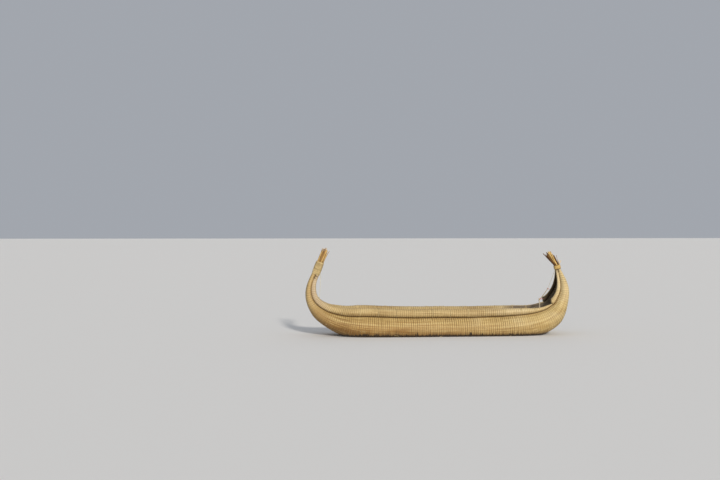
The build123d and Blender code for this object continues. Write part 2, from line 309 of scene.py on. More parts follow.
class Nodes:
    """Short names for the nodes of one material."""

    def __init__(self, nt):
        self.nt = nt

    def attr(self, name, out="Fac"):
        n = self.nt.nodes.new("ShaderNodeAttribute")
        n.attribute_name = name
        return n.outputs[out]

    def position(self):
        return self.nt.nodes.new("ShaderNodeNewGeometry").outputs["Position"]

    def scaled(self, vector, scale, shift=(0, 0, 0)):
        n = self.nt.nodes.new("ShaderNodeMapping")
        n.inputs["Scale"].default_value = scale
        n.inputs["Location"].default_value = shift
        self.nt.links.new(vector, n.inputs["Vector"])
        return n.outputs["Vector"]

    def noise(self, vector, scale=1.0, detail=3.0, rough=0.5):
        n = self.nt.nodes.new("ShaderNodeTexNoise")
        n.inputs["Scale"].default_value = scale
        n.inputs["Detail"].default_value = detail
        n.inputs["Roughness"].default_value = rough
        self.nt.links.new(vector, n.inputs["Vector"])
        return n.outputs["Fac"]

    def math(self, op, a, b=None, c=None, clamp=False):
        n = self.nt.nodes.new("ShaderNodeMath")
        n.operation = op
        n.use_clamp = clamp
        for i, x in enumerate((a, b, c)):
            if x is None:
                continue
            if isinstance(x, (int, float)):
                n.inputs[i].default_value = x
            else:
                self.nt.links.new(x, n.inputs[i])
        return n.outputs[0]

    def range(self, value, low, high, to_low=0.0, to_high=1.0, smooth=True):
        n = self.nt.nodes.new("ShaderNodeMapRange")
        n.interpolation_type = "SMOOTHSTEP" if smooth else "LINEAR"
        n.inputs["From Min"].default_value = low
        n.inputs["From Max"].default_value = high
        n.inputs["To Min"].default_value = to_low
        n.inputs["To Max"].default_value = to_high
        self.nt.links.new(value, n.inputs["Value"])
        return n.outputs["Result"]

    def ramp(self, fac, stops):
        n = self.nt.nodes.new("ShaderNodeValToRGB")
        e = n.color_ramp.elements
        while len(e) < len(stops):
            e.new(0.5)
        for el, (p, c) in zip(e, stops):
            el.position = p
            el.color = (*c, 1)
        self.nt.links.new(fac, n.inputs["Fac"])
        return n.outputs["Color"]

    def mix(self, fac, a, b, mode="MIX"):
        n = self.nt.nodes.new("ShaderNodeMix")
        n.data_type = "RGBA"
        n.blend_type = mode
        for socket, x in (("Factor", fac), ("A", a), ("B", b)):
            target = next(i for i in n.inputs if i.name == socket and i.enabled and (socket == "Factor" or i.type == "RGBA"))
            if isinstance(x, (int, float)):
                target.default_value = x
            elif isinstance(x, tuple):
                target.default_value = (*x, 1)
            else:
                self.nt.links.new(x, target)
        return next(o for o in n.outputs if o.type == "RGBA")

    def split(self, vector, axis):
        n = self.nt.nodes.new("ShaderNodeSeparateXYZ")
        self.nt.links.new(vector, n.inputs[0])
        return n.outputs[axis]

    def bump(self, height, distance, strength=1.0, normal=None):
        n = self.nt.nodes.new("ShaderNodeBump")
        n.inputs["Distance"].default_value = distance
        n.inputs["Strength"].default_value = strength
        self.nt.links.new(height, n.inputs["Height"])
        if normal is not None:
            self.nt.links.new(normal, n.inputs["Normal"])
        return n.outputs["Normal"]


STRAW = [(0.00, (0.105, 0.052, 0.013)), (0.20, (0.275, 0.162, 0.048)), (0.42, (0.500, 0.348, 0.126)),
         (0.68, (0.685, 0.525, 0.226)), (1.00, (0.830, 0.710, 0.370))]
PALE = [(0.00, (0.140, 0.078, 0.026)), (0.20, (0.306, 0.189, 0.069)), (0.42, (0.503, 0.352, 0.146)),
        (0.68, (0.644, 0.487, 0.229)), (1.00, (0.762, 0.632, 0.354))]
MAT_STRAW = [(0.0, (0.110, 0.066, 0.026)), (0.3, (0.300, 0.200, 0.085)), (0.6, (0.490, 0.365, 0.175)), (1.0, (0.690, 0.560, 0.320))]
TUFT_STRAW = [(0.0, (0.022, 0.009, 0.003)), (0.3, (0.115, 0.048, 0.012)), (0.6, (0.380, 0.200, 0.050)), (1.0, (0.860, 0.600, 0.220))]


def soak(k, pos, colour):
    """Reeds and cord at the waterline: nearly black below, with soft brown streaks climbing from it."""
    height = k.math("SUBTRACT", k.split(pos, "Z"), WATER_Z)
    ragged = k.noise(k.scaled(pos, (15.0, 7.0, 0.9)), 1.0, 4.0, 0.75)
    slow = k.noise(k.scaled(pos, (1.3, 0.8, 0.4), (3.1, 0, 0)), 1.0, 2.0, 0.5)
    lift = k.math("MULTIPLY", k.range(ragged, 0.36, 0.72), k.range(slow, 0.30, 0.70, 0.35, 1.0, False))
    drip = k.range(k.noise(k.scaled(pos, (6.5, 4.0, 0.5), (2.2, 0, 0)), 1.0, 3.0, 0.8), 0.56, 0.68)
    reach = k.math("MULTIPLY_ADD", drip, 0.080, k.math("MULTIPLY", lift, 0.055))
    soaked = k.range(k.math("SUBTRACT", height, reach), 0.072, 0.022)
    damp = k.range(k.math("SUBTRACT", height, k.math("MULTIPLY", lift, 0.120)), 0.135, 0.030)
    colour = k.mix(k.math("MULTIPLY", damp, 0.66), colour, (0.150, 0.078, 0.020))
    return k.mix(k.math("MULTIPLY", soaked, 0.95), colour, (0.022, 0.013, 0.006)), soaked


def shade_colour(k, z):
    """Reeds and cord that see little sky: grey-brown low down, nearly black up in the bow."""
    return k.mix(k.range(z, 0.98, 1.14), (0.115, 0.086, 0.060), (0.034, 0.020, 0.009))


def reed_material(name, stops, wet=True, fibre=340.0, contrast=1.0, patch=0.10, spread=0.34, fade=1.0,
                  pale_share=0.0, pale_from=-2.8, aft_tint=(0.400, 0.260, 0.110), aft_share=0.36):
    """Dry bound reeds. tone is each reed's own shade, gap is 1 in the seam between two reeds, where shade is
    painted, bind is 1 under a lashing, where the reeds are drawn darker, seam is 1 in the groove between two
    rolls, where shade is painted, inner is 1 on shaded faces turned to the middle of the boat, where shade is
    painted, and flow holds the distance along the reeds, the distance round the roll and the reed's number."""
    mat, nt, bsdf = new_material(name)
    k = Nodes(nt)
    tone, gap, bind, seam, inner = (k.attr(n) for n in ("tone", "gap", "bind", "seam", "inner"))
    flow = k.attr("flow", "Vector")
    pos = k.position()
    x, z = k.split(pos, "X"), k.split(pos, "Z")
    streak = k.noise(k.scaled(flow, (2.4, 64.0, 5.3)), 1.0, 4.0, 0.6)
    wide = k.noise(k.scaled(flow, (0.75, 17.0, 0.0)), 1.0, 3.0, 0.6)
    cloud = k.noise(k.scaled(pos, (1.5, 1.5, 3.2)), 1.0, 4.0, 0.6)
    speck = k.noise(k.scaled(flow, (26.0, 120.0, 9.1)), 1.0, 3.0, 0.7)
    hoop = k.noise(k.scaled(flow, (17.0, 1.7, 0.0)), 1.0, 3.0, 0.7)
    v = k.math("MULTIPLY_ADD", tone, spread, 0.685 - 0.55 * spread)
    v = k.math("ADD", v, k.range(streak, 0.30, 0.70, -0.13 * contrast, 0.11 * contrast, False))
    v = k.math("ADD", v, k.range(wide, 0.30, 0.70, -0.17 * contrast, 0.14 * contrast, False))
    v = k.math("ADD", v, k.range(cloud, 0.32, 0.68, -1.3 * patch, 1.1 * patch, False))
    v = k.math("ADD", v, k.range(speck, 0.60, 0.80, 0.0, -0.24 * contrast))
    ends = k.math("MULTIPLY", k.range(x, 1.7, 3.0, 1.0, 0.45), k.range(z, 0.75, 1.20, 1.0, 0.60))
    blotch = k.noise(k.scaled(pos, (1.1, 1.4, 2.6), (5.2, 0, 1.7)), 1.0, 3.0, 0.6)
    # the reeds are darker in a band round each lashing, less so in the bow and up the necks
    lashing_band = k.math("MULTIPLY", bind, k.range(hoop, 0.30, 0.70, 0.06, 0.56, False))
    lashing_band = k.math("MULTIPLY", lashing_band, k.range(blotch, 0.40, 0.58, 0.42, 1.06))
    v = k.math("SUBTRACT", v, k.math("MULTIPLY", lashing_band, ends))
    # painted shade in the seams between reeds
    v = k.math("SUBTRACT", v, k.math("MULTIPLY", gap, 0.16), clamp=True)
    colour = k.ramp(v, stops)
    colour = k.mix(k.math("MULTIPLY", gap, 0.42), colour, (0.120, 0.064, 0.020))
    # bleached where the bow stands up, darker at the stern end, painted shade in the grooves between rolls and on faces
    # turned inboard out of the sun, and darker low down, partly real staining and partly painted shade
    pale = k.math("MULTIPLY", k.range(x, pale_from, pale_from + 3.2, 0.0, pale_share), k.range(z, 0.42, 0.64, 0.30, 1.0))
    pale = k.math("MULTIPLY", pale, k.range(blotch, 0.40, 0.60, 1.9, 0.40))
    colour = k.mix(pale, colour, (0.780, 0.690, 0.470))
    bleach = k.math("MULTIPLY", k.range(z, 0.85, 1.60), k.range(x, -1.0, 3.0, 0.12 * fade, 0.24 * fade))
    colour = k.mix(bleach, colour, (0.780, 0.630, 0.370))
    colour = k.mix(k.math("MULTIPLY", k.range(x, -2.9, -3.5), aft_share), colour, aft_tint)
    # painted shade: a thin dark orange-brown line in the groove between two rolls, fainter up the necks
    line = k.math("MULTIPLY", seam, k.math("MULTIPLY", k.range(z, 1.00, 1.30, 0.96, 0.50), k.range(wide, 0.30, 0.70, 0.80, 1.0, False)))
    colour = k.mix(k.range(seam, 0.01, 0.60, 0.0, 0.50), colour, (0.400, 0.215, 0.040))
    colour = k.mix(line, colour, (0.100, 0.034, 0.002))
    colour = k.mix(k.math("MULTIPLY", inner, 0.94), colour, shade_colour(k, z))
    rough = k.range(streak, 0.3, 0.7, 0.55, 0.75, False)
    if wet:
        # darker and browner low on the hull, more so aft: partly real water staining, partly painted shade of the
        # roll's underside
        stain_and_shade = k.math("MULTIPLY", k.range(z, 0.84, 0.34), k.range(cloud, 0.34, 0.62, 0.55, 1.0))
        aft = k.math("MULTIPLY", k.range(x, 2.4, -2.4, 0.40, 1.12), k.range(wide, 0.34, 0.66, 1.25, 0.62, False))
        colour = k.mix(k.math("MULTIPLY", k.math("MULTIPLY", stain_and_shade, aft), 0.90, clamp=True), colour, (0.300, 0.146, 0.026))
        # dark streaks along the reeds low on the hull, partly real staining and partly painted shade, and painted shade
        # on the stern's belly
        low = k.math("MULTIPLY", k.range(z, 0.68, 0.36), k.range(x, 1.8, -2.6, 0.22, 1.0))
        colour = k.mix(k.math("MULTIPLY", k.math("MULTIPLY", low, k.range(wide, 0.50, 0.36)), 0.55), colour, (0.170, 0.078, 0.018))
        # drip marks low on the hull, stronger aft: partly real dirt, partly painted shade low down
        drips = k.range(k.noise(k.scaled(pos, (11.0, 5.0, 0.5), (0.7, 0, 0)), 1.0, 3.0, 0.7), 0.34, 0.66, 0.45, 1.0, False)
        dirt_and_shade = k.math("MULTIPLY", k.range(z, 0.54, 0.28), k.range(x, 2.4, -1.6, 0.20, 0.50))
        colour = k.mix(k.math("MULTIPLY", dirt_and_shade, drips), colour, (0.130, 0.066, 0.014))
        rake = k.math("MULTIPLY", k.range(x, -1.9, -2.8), k.range(z, 0.95, 0.56))
        colour = k.mix(k.math("MULTIPLY", k.math("MULTIPLY", rake, k.range(wide, 0.52, 0.42)), 0.62), colour, (0.150, 0.068, 0.015))
        # painted shade where the stern's belly turns down and aft
        painted_belly_shade = k.math("MULTIPLY", k.range(x, -2.7, -3.3), k.range(z, 1.20, 0.80))
        colour = k.mix(k.math("MULTIPLY", painted_belly_shade, 0.54), colour, (0.250, 0.130, 0.034))
        colour, soaked = soak(k, pos, colour)
        rough = k.math("SUBTRACT", rough, k.math("MULTIPLY", soaked, 0.30))
    nt.links.new(colour, bsdf.inputs["Base Color"])
    nt.links.new(rough, bsdf.inputs["Roughness"])
    bsdf.inputs["Specular IOR Level"].default_value = 0.34
    bsdf.inputs["Sheen Weight"].default_value = 0.05
    fine = k.noise(k.scaled(flow, (14.0, fibre, 7.0)), 1.0, 3.0, 0.6)
    nt.links.new(k.bump(fine, 0.0012, 0.8), bsdf.inputs["Normal"])
    return mat


def cord_material(name, dark, light, twist=260.0, rough=0.85, sheen=0.10, wet=False):
    """Twisted grass cord, with dirt and worn fibres."""
    mat, nt, bsdf = new_material(name)
    k = Nodes(nt)
    tone, inner = k.attr("tone"), k.attr("inner")
    pos = k.position()
    coarse = k.noise(k.scaled(pos, (9.0, 9.0, 9.0)), 1.0, 3.0, 0.6)
    fine = k.noise(k.scaled(pos, (twist, twist, twist)), 1.0, 3.0, 0.7)
    v = k.math("MULTIPLY_ADD", tone, 0.5, 0.12)
    v = k.math("ADD", v, k.range(coarse, 0.3, 0.7, -0.12, 0.22, False))
    v = k.math("ADD", v, k.range(fine, 0.3, 0.7, -0.16, 0.16, False), clamp=True)
    colour = k.ramp(v, [(0.0, dark), (1.0, light)])
    # painted shade on cord faces turned inboard in the bow, where inner is set
    colour = k.mix(k.math("MULTIPLY", inner, 0.92), colour, shade_colour(k, k.split(pos, "Z")))
    if wet:
        colour, _ = soak(k, pos, colour)
    nt.links.new(colour, bsdf.inputs["Base Color"])
    bsdf.inputs["Roughness"].default_value = rough
    bsdf.inputs["Sheen Weight"].default_value = sheen
    bsdf.inputs["Specular IOR Level"].default_value = 0.25
    nt.links.new(k.bump(fine, 0.0012, 0.7), bsdf.inputs["Normal"])
    return mat


MAIN_REED = reed_material("main_reed", STRAW, pale_share=0.10, aft_share=0.46)
GUNWALE_REED = reed_material("gunwale_reed", PALE, wet=False, pale_share=0.17, pale_from=-0.2, aft_tint=(0.520, 0.425, 0.330), aft_share=0.45)
HEART_REED = reed_material("heart_reed", STRAW, wet=False)
MAT_REED = reed_material("mat_reed", MAT_STRAW, wet=False)
TUFT_REED = reed_material("tuft_reed", TUFT_STRAW, wet=False, contrast=0.6, patch=0.05, spread=0.80, fade=0.0)
HOOP_CORD = cord_material("hoop_cord", (0.110, 0.058, 0.018), (0.600, 0.430, 0.180), wet=True)
TIE_ROPE = cord_material("tie_rope", (0.460, 0.340, 0.150), (0.780, 0.640, 0.350))
WRAP_ROPE = cord_material("stern_wrap_rope", (0.170, 0.105, 0.036), (0.890, 0.710, 0.370), 200.0)
GOLD_ROPE = cord_material("bow_lashing_rope", (0.055, 0.022, 0.005), (0.860, 0.600, 0.215), 200.0)
STAY_ROPE = cord_material("brown_stay_rope", (0.200, 0.130, 0.050), (0.640, 0.480, 0.220), 300.0)
PALE_CORD = cord_material("stay_cord", (0.330, 0.300, 0.200), (0.780, 0.730, 0.560), 300.0)
STITCH_CORD = cord_material("dark_stitches", (0.045, 0.026, 0.012), (0.160, 0.095, 0.040), 300.0)
RAG = cord_material("faded_rag", (0.420, 0.150, 0.150), (0.760, 0.400, 0.380), 180.0, 0.95, 0.3)


def peg_material():
    mat, nt, bsdf = new_material("peeled_stick")
    k = Nodes(nt)
    pos = k.position()
    grain = k.noise(k.scaled(pos, (160.0, 160.0, 9.0)), 1.0, 4.0, 0.6)
    knots = k.noise(k.scaled(pos, (30.0, 30.0, 14.0)), 1.0, 2.0, 0.5)
    v = k.math("ADD", k.range(grain, 0.3, 0.7, 0.2, 0.9, False), k.range(knots, 0.60, 0.75, 0.0, -0.5), clamp=True)
    nt.links.new(k.ramp(v, [(0.0, (0.210, 0.150, 0.090)), (0.5, (0.520, 0.440, 0.320)), (1.0, (0.740, 0.680, 0.560))]), bsdf.inputs["Base Color"])
    bsdf.inputs["Roughness"].default_value = 0.7
    nt.links.new(k.bump(grain, 0.001, 0.8), bsdf.inputs["Normal"])
    return mat


PEG_WOOD = peg_material()

# ------------------------------------------------------------------ reed rolls
def hoop_places(start, end, pitch, seed):
    """Distances of the lashings along a roll, each a little off the even pitch."""
    r = np.random.default_rng(seed)
    n = int((end - start) / pitch)
    base = start + (np.arange(n) + 0.5) * (end - start) / n
    return base + r.uniform(-0.12, 0.12, n) * pitch


def ring_places(start, end, hoops):
    """Ring distances: one at each lashing and two between each pair."""
    edges = np.concatenate([[start], hoops, [end]])
    out, pinch = [start], [0.3]
    for a, b in zip(edges, edges[1:]):
        if a != start:
            out.append(a)
            pinch.append(1.0)
        out += [a + (b - a) * 0.34, a + (b - a) * 0.66]
        pinch += [0.0, 0.0]
    out.append(end)
    pinch.append(0.3)
    s, p = np.array(out), np.array(pinch)
    keep = np.concatenate([[True], np.diff(s) > 1e-5])
    return s[keep], p[keep]


def reed_fields(n_reeds, s, seed, seg=(1.1, 2.4)):
    """Each reed's shade, height and sideways drift along s, in spans with overlapping ends."""
    r = np.random.default_rng(seed)
    tone = np.zeros((len(s), n_reeds))
    lift = np.zeros((len(s), n_reeds))
    drift = np.zeros((len(s), n_reeds))
    for k in range(n_reeds):
        at = s[0] - r.uniform(0, 2.0)
        cuts = [at]
        while cuts[-1] < s[-1]:
            cuts.append(cuts[-1] + r.uniform(*seg))
        cuts = np.array(cuts)
        idx = np.searchsorted(cuts, s, side="right") - 1
        shade = np.clip(r.normal(0.55, 0.20, len(cuts)), 0.02, 1.0)
        up = r.uniform(-0.5, 0.5, len(cuts))
        along = (s - cuts[idx]) / 1.6
        tone[:, k] = shade[idx] + 0.05 * np.sin(s * r.uniform(2, 5) + r.uniform(0, 6))
        lift[:, k] = up[idx] + 0.5 * np.exp(-along * 7)
        for _ in range(2):
            drift[:, k] += r.uniform(0.05, 0.13) * np.sin(s * r.uniform(0.7, 3.0) + r.uniform(0, 6.28))
    return tone, lift, drift


def lumps(s, around, seed, size):
    """Slow uneven swelling of a roll, in metres."""
    r = np.random.default_rng(seed)
    out = 0
    for _ in range(7):
        out = out + r.uniform(0.4, 1.0) * np.sin(
            s[:, None] * r.uniform(1.2, 7.0) + around[None, :] * r.integers(0, 4) + r.uniform(0, 6.28))
    return out * size / 3.0


def oval_skin(side, n_reeds, s, pinch, seed):
    """Vertices (rings, around) of a main roll: reeds round the oval, and the flat at the seam."""
    sec = Sections(s)
    tone, lift, drift = reed_fields(n_reeds, s, seed)
    m = 2 * n_reeds + 1
    rings = len(s)
    lump = lumps(s, np.linspace(-2.7, 2.7, m), seed + 1, 0.0045)
    U, V = np.zeros((rings, m)), np.zeros((rings, m))
    T, G = np.zeros((rings, m)), np.zeros((rings, m))
    around = np.zeros((rings, m))
    slots = np.arange(m) / 2.0                     # reed coordinate: whole numbers are the seams
    for i in range(rings):
        W, R, cu = sec.W[i], sec.R[i], sec.cu[i]
        a0 = PI - math.acos(min(1, (cu - 0.0006) / W))
        a = np.linspace(-a0, a0, 241)
        arc = np.concatenate([[0], np.cumsum(np.hypot(np.diff(W * np.cos(a)), np.diff(R * np.sin(a))))])
        width = arc[-1] / n_reeds
        k = slots.copy()
        k[1::2] += 0.5 * drift[i]
        k[2:-1:2] += 0.5 * (drift[i][:-1] + drift[i][1:]) * 0.5
        ang = np.interp(k * width, arc, a)
        nu, nv = np.cos(ang) / W, np.sin(ang) / R
        norm = np.hypot(nu, nv)
        nu, nv = nu / norm, nv / norm
        high = np.zeros(m)
        high[1::2] = 0.05 * width + 0.09 * width * lift[i]
        high[0::2] = -0.20 * width
        squeeze = 0.14 * width * pinch[i] + 0.0012 * pinch[i]
        high[1::2] -= squeeze
        scale = min(1.0, W / 0.2)
        high += lump[i] * scale
        high[0] = high[-1] = -0.001
        U[i] = cu + W * np.cos(ang) + nu * high
        V[i] = R * np.sin(ang) + nv * high
        T[i, 1::2] = tone[i]
        T[i, 2:-1:2] = 0.5 * (tone[i][:-1] + tone[i][1:])
        T[i, 0], T[i, -1] = tone[i][0], tone[i][-1]
        G[i, 0::2] = 1.0
        G[i, 1::2] = 0.12 * pinch[i]
        around[i] = k * 0.022
    U = np.maximum(U, 0.0006)
    # the flat at the seam, from the top of the oval back to its bottom
    f = np.linspace(0, 1, 5)[1:-1]
    Uf = np.full((rings, 3), 0.0006)
    Vf = V[:, -1:] * (1 - f) + V[:, :1] * f
    U, V = np.concatenate([U, Uf], 1), np.concatenate([V, Vf], 1)
    # the valley between the two rolls is out of the sun, most of all inside the bow
    inner = np.clip((-(U - sec.cu[:, None]) / sec.W[:, None] - 0.05) / 0.5, 0, 1) * (V > 0.25 * sec.R[:, None])
    inner[:, -3:] = 1.0
    inner = inner * (0.45 + 0.55 * shaded(sec.x))[:, None]
    reach = (sec.gu - sec.rg * 0.3)[:, None]
    bay = np.clip((reach - U) / (0.25 * sec.W[:, None]), 0, 1) * (V > 0.1 * sec.R[:, None]) * shaded(sec.x - 0.55)[:, None]
    inner = np.maximum(inner, bay)
    # where the gunwale lies on the roll, for the painted shade along the groove
    away = np.hypot(U - sec.gu[:, None], V - sec.gv[:, None]) - sec.rg[:, None] - SEAT_GAP
    seam = np.exp(-(away / (0.018 * np.minimum(1.0, sec.W / 0.3))[:, None]) ** 2)
    T = np.concatenate([T, np.full((rings, 3), 0.4)], 1)
    G = np.concatenate([G, np.full((rings, 3), 0.8)], 1)
    around = np.concatenate([around, around[:, -1:] + 0.05 * f], 1)
    P = sec.place(side, U, V)
    flow = np.stack([np.broadcast_to(s[:, None], U.shape), around, np.round(around / 0.022)], -1)
    return P, T, G, flow, pinch, inner, seam


def shaded(x):
    """How much of the sky the bow takes from faces turned inboard at x, 0 to 1."""
    return np.clip((x - 1.95) / 0.40, 0, 1)


def round_skin(sec, side, cu, cv, r, n_reeds, s, pinch, seed, flat=0.98, shade=1.0):
    """Vertices (rings, around) of a slim roll: reeds round a circle."""
    tone, lift, drift = reed_fields(n_reeds, s, seed, (0.8, 1.8))
    m = 2 * n_reeds
    rings = len(s)
    base = np.arange(m) / 2.0
    lump = lumps(s, 2 * PI * base / n_reeds, seed + 1, 0.0035)
    k = np.broadcast_to(base, (rings, m)).copy()
    k[:, 1::2] += 0.5 * drift
    k[:, 0::2] += 0.25 * (drift + np.roll(drift, 1, 1))
    ang = 2 * PI * k / n_reeds
    width = (2 * PI * r / n_reeds)[:, None]
    high = np.zeros((rings, m))
    high[:, 1::2] = 0.05 * width + 0.10 * width * lift - (0.14 * width + 0.001) * pinch[:, None]
    high[:, 0::2] = -0.20 * width
    high += lump * np.minimum(1.0, r / 0.1)[:, None]
    rr = r[:, None] + high
    U = cu[:, None] + rr * np.cos(ang)
    V = cv[:, None] + flat * rr * np.sin(ang)
    T = np.zeros((rings, m))
    T[:, 1::2] = tone
    T[:, 0::2] = 0.5 * (tone + np.roll(tone, 1, 1))
    G = np.zeros((rings, m))
    G[:, 0::2] = 1.0
    G[:, 1::2] = 0.12 * pinch[:, None]
    around = k * 0.02
    P = sec.place(side, U, V)
    flow = np.stack([np.broadcast_to(s[:, None], U.shape), around, np.floor(base)[None, :] + 0 * U], -1)
    # painted shade on faces turned inboard, strongest in the bow
    inner = np.clip((-np.cos(ang) - 0.15) / 0.6, 0, 1) * shade * (0.15 + 0.85 * shaded(sec.x))[:, None]
    # the line where the roll lies on the main roll, along which shade is painted
    full = sec if isinstance(sec, Sections) else Sections(KNOT[NECK_START] + s)
    down = np.arctan2(-(full.gv / full.R ** 2), -(full.gu - full.cu) / full.W ** 2)
    turn = np.abs((ang - down[:, None] + PI) % (2 * PI) - PI)
    seam = np.exp(-(turn * r[:, None] / 0.018) ** 2) if shade else 0 * ang
    return P, T, G, flow, pinch, np.clip(inner, 0, 1), seam


def skin_object(name, skin, material):
    P, T, G, flow, pinch, inner, seam = skin
    rings, around = P.shape[:2]
    verts = P.reshape(-1, 3)
    quads = ring_faces(rings, around)
    n = len(verts)
    ends = np.stack([P[0].mean(0), P[-1].mean(0)])
    j = np.arange(around)
    j2 = (j + 1) % around
    off = (rings - 1) * around
    tris = np.concatenate([np.stack([np.full(around, n), j2, j], -1),
                           np.stack([np.full(around, n + 1), off + j, off + j2], -1)])
    bind = np.broadcast_to(pinch[:, None], (rings, around))
    return new_object(name, np.concatenate([verts, ends]), quads, tris, {
        "tone": np.concatenate([T.ravel(), [0.4, 0.4]]),
        "gap": np.concatenate([G.ravel(), [0.5, 0.5]]),
        "bind": np.concatenate([bind.ravel(), [0, 0]]),
        "inner": np.concatenate([inner.ravel(), [0.5, 0.5]]),
        "seam": np.concatenate([seam.ravel(), [0, 0]]),
        "flow": np.concatenate([flow.reshape(-1, 3), flow[0, :1], flow[-1, :1]]),
    }, material=material)


MAIN_PITCH, GUNWALE_PITCH, NECK_PITCH = 0.060, 0.058, 0.052
main_start, main_end = -STERN_WRAP + 0.03, HULL_LEN + BOW_WRAP - 0.03
neck_end = NECK_LEN + BOW_WRAP - 0.03
main_hoops = {side: hoop_places(0.03, HULL_LEN - 0.02, MAIN_PITCH, 21 + int(side)) for side in (STARBOARD, PORT)}
gun_hoops = {side: hoop_places(0.02, GUNWALE_END - 0.03, GUNWALE_PITCH, 31 + int(side)) for side in (STARBOARD, PORT)}
neck_hoops = {side: hoop_places(0.04, NECK_LEN - 0.01, NECK_PITCH, 36 + int(side)) for side in (STARBOARD, PORT)}
SIDES = ((STARBOARD, "starboard"), (PORT, "port"))


def ride(obj, slot, *nodes):
    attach(obj, "root")
    if nodes:
        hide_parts(*nodes)
    return obj


for side, label in SIDES:
    s, pinch = ring_places(main_start, main_end, main_hoops[side])
    ride(skin_object(f"{label}_main_reeds", oval_skin(side, 92, s, pinch, 100 + int(side)), MAIN_REED), "reed", f"{label}_main_bundle")
    s, pinch = ring_places(main_start, GUNWALE_END, gun_hoops[side])
    sec = Sections(s)
    skin = round_skin(sec, side, sec.gu, sec.gv, sec.rg, 34, s, pinch, 200 + int(side))
    ride(skin_object(f"{label}_gunwale_reeds", skin, GUNWALE_REED), "reed_pale", f"{label}_gunwale_bundle")
    s, pinch = ring_places(0.0, neck_end, neck_hoops[side])
    sec = NeckFrames(s)
    skin = round_skin(sec, side, sec.gu, sec.gv, sec.rg, 26, s, pinch, 230 + int(side), shade=1.15)
    ride(skin_object(f"{label}_neck_reeds", skin, GUNWALE_REED), "reed_pale", f"{label}_neck_roll")

    # cut reed ends: the blunt face of the neck roll and the tapered tip of the gunwale
    r = np.random.default_rng(240 + int(side))
    batch = Batch()
    for i in range(52):
        rad, th = math.sqrt((i + 0.5) / 52) * 0.92, i * 2.399963
        depth, stick = 0.05, r.uniform(0.001, 0.016) + (0.014 if r.random() < 0.12 else 0)
        f = NeckFrames([0.0, depth])
        u, v = rad * math.cos(th), 0.98 * rad * math.sin(th)
        a = f.place(side, (f.gu + f.rg * u * 0.95)[:, None], (f.rg * v * 0.95)[:, None])[:, 0]
        way = (a[0] - a[1]) / np.linalg.norm(a[0] - a[1])
        splay = np.array([0, side * u, 0]) * 0.10 + np.array([f.nx[0], 0, f.nz[0]]) * 0.10 * v
        tip = a[0] + (way + splay) * stick
        verts, quads, tris = tube([a[1], a[0], tip], [0.0078, 0.0082, 0.0078], 6)
        # painted shade on the port roll's cut ends
        batch.add(verts, quads, tris, tone=np.concatenate([np.full(18, r.uniform(0.3, 0.9)), [0.5, 1.0]]), gap=0.0, bind=0.0,
                  inner=0.85 if side == PORT else 0.0, flow=np.tile([i * 0.1, i * 0.31, i], (len(verts), 1)))
    f = Sections(GUNWALE_END - np.array([0.16, 0.08, 0.01]))
    line = f.place(side, f.gu[:, None], f.gv[:, None])[:, 0]
    way = (line[2] - line[1]) / np.linalg.norm(line[2] - line[1])
    for i in range(26):
        rad, th = 0.9 * math.sqrt((i + 0.5) / 26), i * 2.399963
        out = rad * (math.cos(th) * np.array([0, side, 0]) + math.sin(th) * np.array([f.nx[2], 0, f.nz[2]]))
        tip = line[2] + out * TIP_RADIUS * 1.2 + way * r.uniform(0.03, 0.10)
        verts, quads, tris = tube([line[0] + out * f.rg[0], line[1] + out * f.rg[1], line[2] + out * TIP_RADIUS, tip],
                                  np.array([0.0050, 0.0050, 0.0048, 0.0034]), 5)
        batch.add(verts, quads, tris, tone=float(np.clip(r.normal(0.55, 0.2), 0, 1)), gap=0.0, bind=0.0, inner=0.0,
                  flow=np.tile([i * 0.1, i * 0.31, i], (len(verts), 1)))
    ride(batch.make(f"{label}_cut_reed_ends", GUNWALE_REED), "reed_pale")

    # loose reeds packed into the groove, so that no daylight shows between the rolls
    r = np.random.default_rng(260 + int(side))
    batch = Batch()
    for start, end in ((0.02, GUNWALE_END - 0.03), (KNOT[NECK_START] + 0.010, HULL_LEN - 0.02)):
        s = np.linspace(start, end, int((end - start) / 0.035) + 2)
        sec = Sections(s)
        for k in (-1, 0, 1):
            across = 0.0075 * k + r.normal(0, 0.0012, len(s))
            line = sec.place(side, sec.pu + across * sec.au, sec.pv + across * sec.av)
            verts, quads, tris = tube(line, np.minimum(0.0062, 0.22 * sec.rg) * r.uniform(0.85, 1.1, len(s)), 6)
            # the packing takes the groove's painted shade, nearly black as painted shade in the bow
            far = np.concatenate([np.repeat(shaded(sec.x), 6), shaded(sec.x[[0, -1]])])
            batch.add(verts, quads, tris, tone=float(r.uniform(0.2, 0.5)), gap=0.5, bind=0.0, seam=1.0, inner=0.95 * far,
                      flow=np.stack([np.append(np.repeat(s, 6), s[[0, -1]]), np.full(len(verts), 0.3 * k), np.full(len(verts), k)], -1))
    ride(batch.make(f"{label}_groove_packing", MAIN_REED), "reed")

# the heart roll, lying in the valley of the two main rolls
HEART_SHARE = [(8, 0.10), (9, 0.15), (10, 0.18), (11, 0.19), (16, 0.19), (17, 0.18), (18, 0.17), (19, 0.11)]
heart_s = np.array([KNOT[i] for i, _ in HEART_SHARE])
heart_r = np.array([v for _, v in HEART_SHARE])
hoops = hoop_places(heart_s[0] + 0.02, heart_s[-1] - 0.02, 0.12, 41)
s, pinch = ring_places(heart_s[0], heart_s[-1], hoops)
sec = Sections(s)
radius = np.interp(s, heart_s, heart_r) * sec.R
height = np.sqrt((sec.R + radius + 0.002) ** 2 - (sec.cu * sec.R / sec.W) ** 2)
skin = round_skin(sec, PORT, 0 * s, height, radius, 22, s, pinch, 300, shade=0.0)
ride(skin_object("heart_reeds", skin, HEART_REED), "reed", "heart_bundle")


